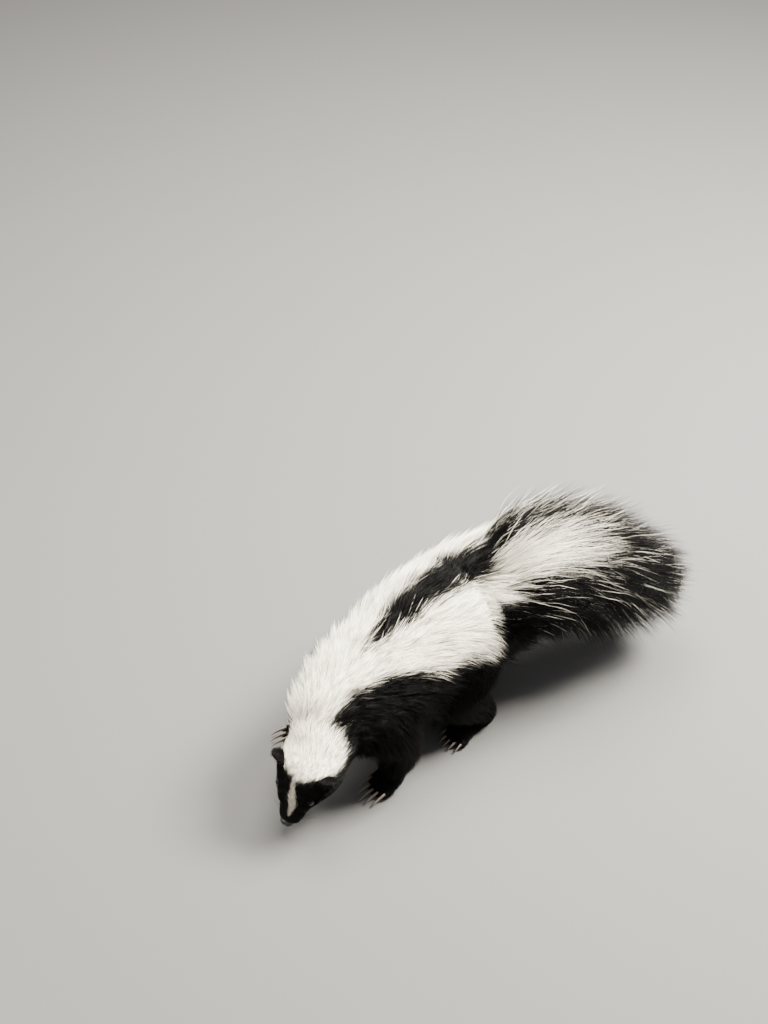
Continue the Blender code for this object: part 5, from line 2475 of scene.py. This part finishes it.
@dataclass
class Whiskers:
    """Stiff bristles on the muzzle and over the eyes, each at a station and an angle."""

    rows: tuple = (
        (1.35, 82), (1.75, 74), (1.75, 92), (2.15, 70), (2.15, 86), (2.5, 78),
    )
    brow_rows: tuple = ((3.35, 33), (3.5, 42))
    length: float = 0.024
    thickness: float = 0.00034
    brow_length: float = 0.75
    rings: int = 7
    sides: int = 5
    last_ring: float = 0.92
    sag: float = 0.12
    tip_sag: float = 0.14
    seed: int = 8
    shift: float = 0.08
    sunk: float = 0.0006
    back: Pair = (0.35, 0.75)
    astray: float = 0.10
    lowest: float = -0.1
    lengths: Pair = (0.75, 1.15)

    def shape(self) -> Object:
        """One bristle of length and width one, that curves down towards +X.

        Returns:
            The object.
        """
        loops = []
        turns = circle(self.sides)
        for t in np.linspace(0, self.last_ring, self.rings):
            thin = (1 - t) * 0.5
            down = -self.sag * t * t / self.thickness * self.length
            across, above = thin * np.sin(turns), thin * np.cos(turns) + down
            loops.append(np.column_stack([np.full(self.sides, t), across, above]))
        tip = np.array((1.0, 0.0, -self.tip_sag / self.thickness * self.length))
        return MeshKit.lofted("whisker_shape", loops, tip)

    def build(self, finish: Material) -> Object:
        """All bristles as one mesh.

        Args:
            finish: their material.

        Returns:
            The object.
        """
        tube = TUBES[Area.HEAD]
        draw = np.random.default_rng(self.seed)
        places, turns, sizes = [], [], []
        for side in (1, -1):
            for rows, long in ((self.rows, 1.0), (self.brow_rows, self.brow_length)):
                for at, angle in rows:
                    turn = np.array([math.radians(angle) * side])
                    where = np.array([at + draw.uniform(-self.shift, self.shift)])
                    root, out = tube.outward(where, turn, -self.sunk)
                    way = unit(out + HEAD_AXES.along * draw.uniform(*self.back))
                    way = unit(way + draw.normal(size=3) * self.astray)
                    way[2] = max(way[2], self.lowest)
                    places.append(root)
                    turns.append(aimed(way, HEAD_AXES.up))
                    size = self.length * long * draw.uniform(*self.lengths)
                    sizes.append((size, self.thickness, self.thickness))
        return Repeater("whiskers").build(self.shape(), places, turns, sizes, finish)


@dataclass
class Studio:
    """The photograph's viewpoint over a plain pale floor, in soft light.

    A lamp is given by its name, place, size and power. Its place is to the picture's right,
    towards the viewer and up from what it lights.
    """

    elevation: float = 50.0
    heading: float = 56.0
    pixels_a_metre: float = 930.0
    distance: float = 1.6
    anchor_pixel: Pair = (400.0, 700.0)
    picture: tuple[int, int] = (768, 1024)
    sensor: float = 36.0
    floor_size: float = 12.0
    floor_colour: Colour = (0.116, 0.114, 0.111, 1.0)
    lamps: tuple = (
        ("key", (1.1, -0.5, 1.3), 0.7, 230.0),
        ("fill", (-1.4, 0.6, 0.9), 1.2, 42.0),
        ("top", (0.0, -0.7, 1.6), 1.0, 105.0),
    )
    tint: Triple = (1.0, 0.960, 0.880)
    lit_height: float = 0.08
    sky: Colour = (0.86, 0.86, 0.87, 1.0)
    sky_strength: float = 0.55
    floor_roughness: float = 0.8
    floor_cloud: Triple = (6.0, 0.05, 0.975)
    dark: Colour = (0.0, 0.0, 0.0, 1.0)

    def camera(self, anchor: Array) -> None:
        """Puts the camera where the photograph was taken from.

        Args:
            anchor: the floor point that lies at the anchor pixel.
        """
        turn, tilt = math.radians(self.heading), math.radians(self.elevation)
        focal = self.pixels_a_metre * self.distance
        right = Vector((-math.sin(turn), math.cos(turn), 0.0))
        level = Vector((math.cos(turn), math.sin(turn), 0.0))
        back = level * math.cos(tilt) + Vector((0.0, 0.0, math.sin(tilt)))
        across = (self.anchor_pixel[0] - self.picture[0] / 2) / focal
        above = (self.picture[1] / 2 - self.anchor_pixel[1]) / focal
        aim = Matrix.Rotation(-math.atan(above), 3, right) @ -back
        swing = math.atan(across) / math.cos(tilt)
        aim = Matrix.Rotation(swing, 3, Vector((0.0, 0.0, 1.0))) @ aim
        data = bpy.data.cameras.new("camera")
        data.sensor_fit = "VERTICAL"
        data.sensor_height = self.sensor
        data.lens = focal / self.picture[1] * self.sensor
        camera = linked("camera", data)
        camera.location = Vector(anchor) + back * self.distance
        camera.rotation_mode = "QUATERNION"
        camera.rotation_quaternion = aim.to_track_quat("-Z", "Y")
        bpy.context.scene.camera = camera

    def lamp(self, name: str, place: Vector, target: Vector, size: float, power: float) -> None:
        """One soft square lamp.

        Args:
            name: the lamp's name.
            place: where it hangs.
            target: what it points at.
            size: its side.
            power: its watts.
        """
        data = bpy.data.lights.new(name, "AREA")
        data.size = size
        data.energy = power
        data.color = self.tint
        lamp = linked(name, data)
        lamp.location = place
        lamp.rotation_mode = "QUATERNION"
        lamp.rotation_quaternion = (target - place).to_track_quat("-Z", "Y")

    def lights(self, anchor: Array) -> None:
        """A key from the picture's right, a weak fill from its left and a lamp overhead.

        Args:
            anchor: the floor point that they are hung round.
        """
        turn = math.radians(self.heading)
        right = Vector((-math.sin(turn), math.cos(turn), 0.0))
        near = Vector((math.cos(turn), math.sin(turn), 0.0))
        target = Vector(anchor) + Vector((0.0, 0.0, self.lit_height))
        for name, place, size, power in self.lamps:
            hung = target + right * place[0] + near * place[1] + Vector((0.0, 0.0, place[2]))
            self.lamp(name, hung, target, size, power)
        world = bpy.data.worlds.new("world")
        world.use_nodes = True
        sky = world.node_tree.nodes["Background"]
        sky.inputs["Color"].default_value = self.sky
        sky.inputs["Strength"].default_value = self.sky_strength
        bpy.context.scene.world = world

    def floor(self) -> Object:
        """The pale floor.

        Returns:
            The object.
        """
        half = self.floor_size / 2
        corners = [(-half, -half, 0.0), (half, -half, 0.0), (half, half, 0.0), (-half, half, 0.0)]
        floor = MeshKit.made("floor", np.array(corners), [(0, 1, 2, 3)])
        graph = Graph("floor")
        scale, depth, least = self.floor_cloud
        tone = graph.mixed(graph.noise(scale) * depth + least, self.dark, self.floor_colour)
        values = {"Base Color": tone, "Roughness": self.floor_roughness}
        floor.data.materials.append(graph.finish(values))
        return floor


def body_shift() -> Array:
    """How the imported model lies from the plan's own axes, by its left eye.

    Returns:
        The way from one to the other along the floor.
    """
    low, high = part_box("eye_left")
    middle = (np.array(low) + np.array(high)) / 2
    shift = middle - EYES[0].centre
    shift[2] = 0.0
    return shift


def dress(obj: Object, slot: str) -> None:
    """Lets a piece go with the body."""
    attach(obj, "root")


FLESH = (
    "head", "neck", "torso", "tail",
    "leg_front_left", "leg_front_right", "leg_hind_left", "leg_hind_right",
    "paw_front_left", "paw_front_right", "paw_hind_left", "paw_hind_right",
)
COAT_SLOTS = {"head": "black_fur", "trunk": "black_fur", "tail": "mixed_fur", "legs": "black_fur"}
HORN = BareFinish(
    (0.060, 0.049, 0.039, 1.0), (0.210, 0.175, 0.135, 1.0),
    roughness=0.30, grain=900.0, depth=0.00005,
)
LEATHER = BareFinish(
    (0.003, 0.0027, 0.0027, 1.0), (0.012, 0.011, 0.011, 1.0),
    roughness=0.42, grain=2600.0, depth=0.00012, wet=0.08,
)
BRISTLE = BareFinish(
    (0.006, 0.006, 0.006, 1.0), (0.030, 0.028, 0.027, 1.0),
    roughness=0.35, grain=800.0, depth=0.00001,
)


def main() -> None:
    """Builds every piece in order, then the camera, lamps and floor."""
    logging.basicConfig(level=logging.INFO, format="%(name)s %(message)s")
    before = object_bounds()
    shift = body_shift()
    LOG.info("shift %s", np.round(shift, 5))

    skin = Skin().build()
    points = MeshKit.places(skin)
    survey = Survey(points).settle(None)
    MeshKit.mark(skin, WHITE_MARK, survey.white(np.zeros(len(points))))
    skin.data.materials.append(SkinFinish().build("skin"))
    LOG.info("skin: %d faces", len(skin.data.polygons))

    coat = Coat(skin)
    LOG.info("roots: %d", len(coat.roots))
    fur = FurFinish().build("fur")
    cups = [ear.build() for ear in EARS]
    for cup in cups:
        cup.data.materials.append(SkinFinish().build("ear_skin"))
    coats = []
    for plan in COATS:
        tufts = joined([coat.grow(plan, area) for area in plan.areas])
        for piece in coat.pieces(tufts, plan.name, fur):
            coats.append((piece, COAT_SLOTS[plan.name]))
    for piece in coat.pieces(coat.on_paws(), "paws", fur):
        coats.append((piece, "black_fur"))
    for piece in coat.pieces(coat.on_ears(cups), "ears", fur):
        coats.append((piece, "black_fur"))

    balls = [eye.ball() for eye in EYES]
    wet = EyeFinish().build("eye")
    for ball in balls:
        ball.data.materials.append(wet)
    nose = Nose().build()
    nose.data.materials.append(LEATHER.build("nose_leather"))
    claws = Claws().build(HORN.build("horn"))
    whiskers = Whiskers().build(BRISTLE.build("bristle"))

    made = [skin, *cups, *[piece for piece, _ in coats], *balls, nose, claws, whiskers]
    for obj in made:
        MeshKit.shift(obj, shift)
    dress(skin, "black_fur")
    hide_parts(*FLESH)
    for piece, slot in coats:
        dress(piece, slot)
    for word, cup, ball in zip(("left", "right"), cups, balls):
        dress(cup, "black_fur")
        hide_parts("ear_" + word)
        dress(ball, "eye")
        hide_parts("eye_" + word)
    dress(nose, "nose_skin")
    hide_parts("nose")
    dress(claws, "nose_skin")
    dress(whiskers, "black_fur")
    total = sum(len(face.vertices) - 2 for obj in made for face in obj.data.polygons)
    LOG.info("all pieces: %d triangles", total)

    studio = Studio()
    anchor = np.array((shift[0], shift[1], 0.0))
    studio.camera(anchor)
    studio.lights(anchor)
    studio.floor()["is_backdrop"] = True
    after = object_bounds()
    boxes = {"cad": before, "visual": after}
    {key: [list(low), list(high)] for key, (low, high) in boxes.items()}


if __name__ == "__main__":
    main()
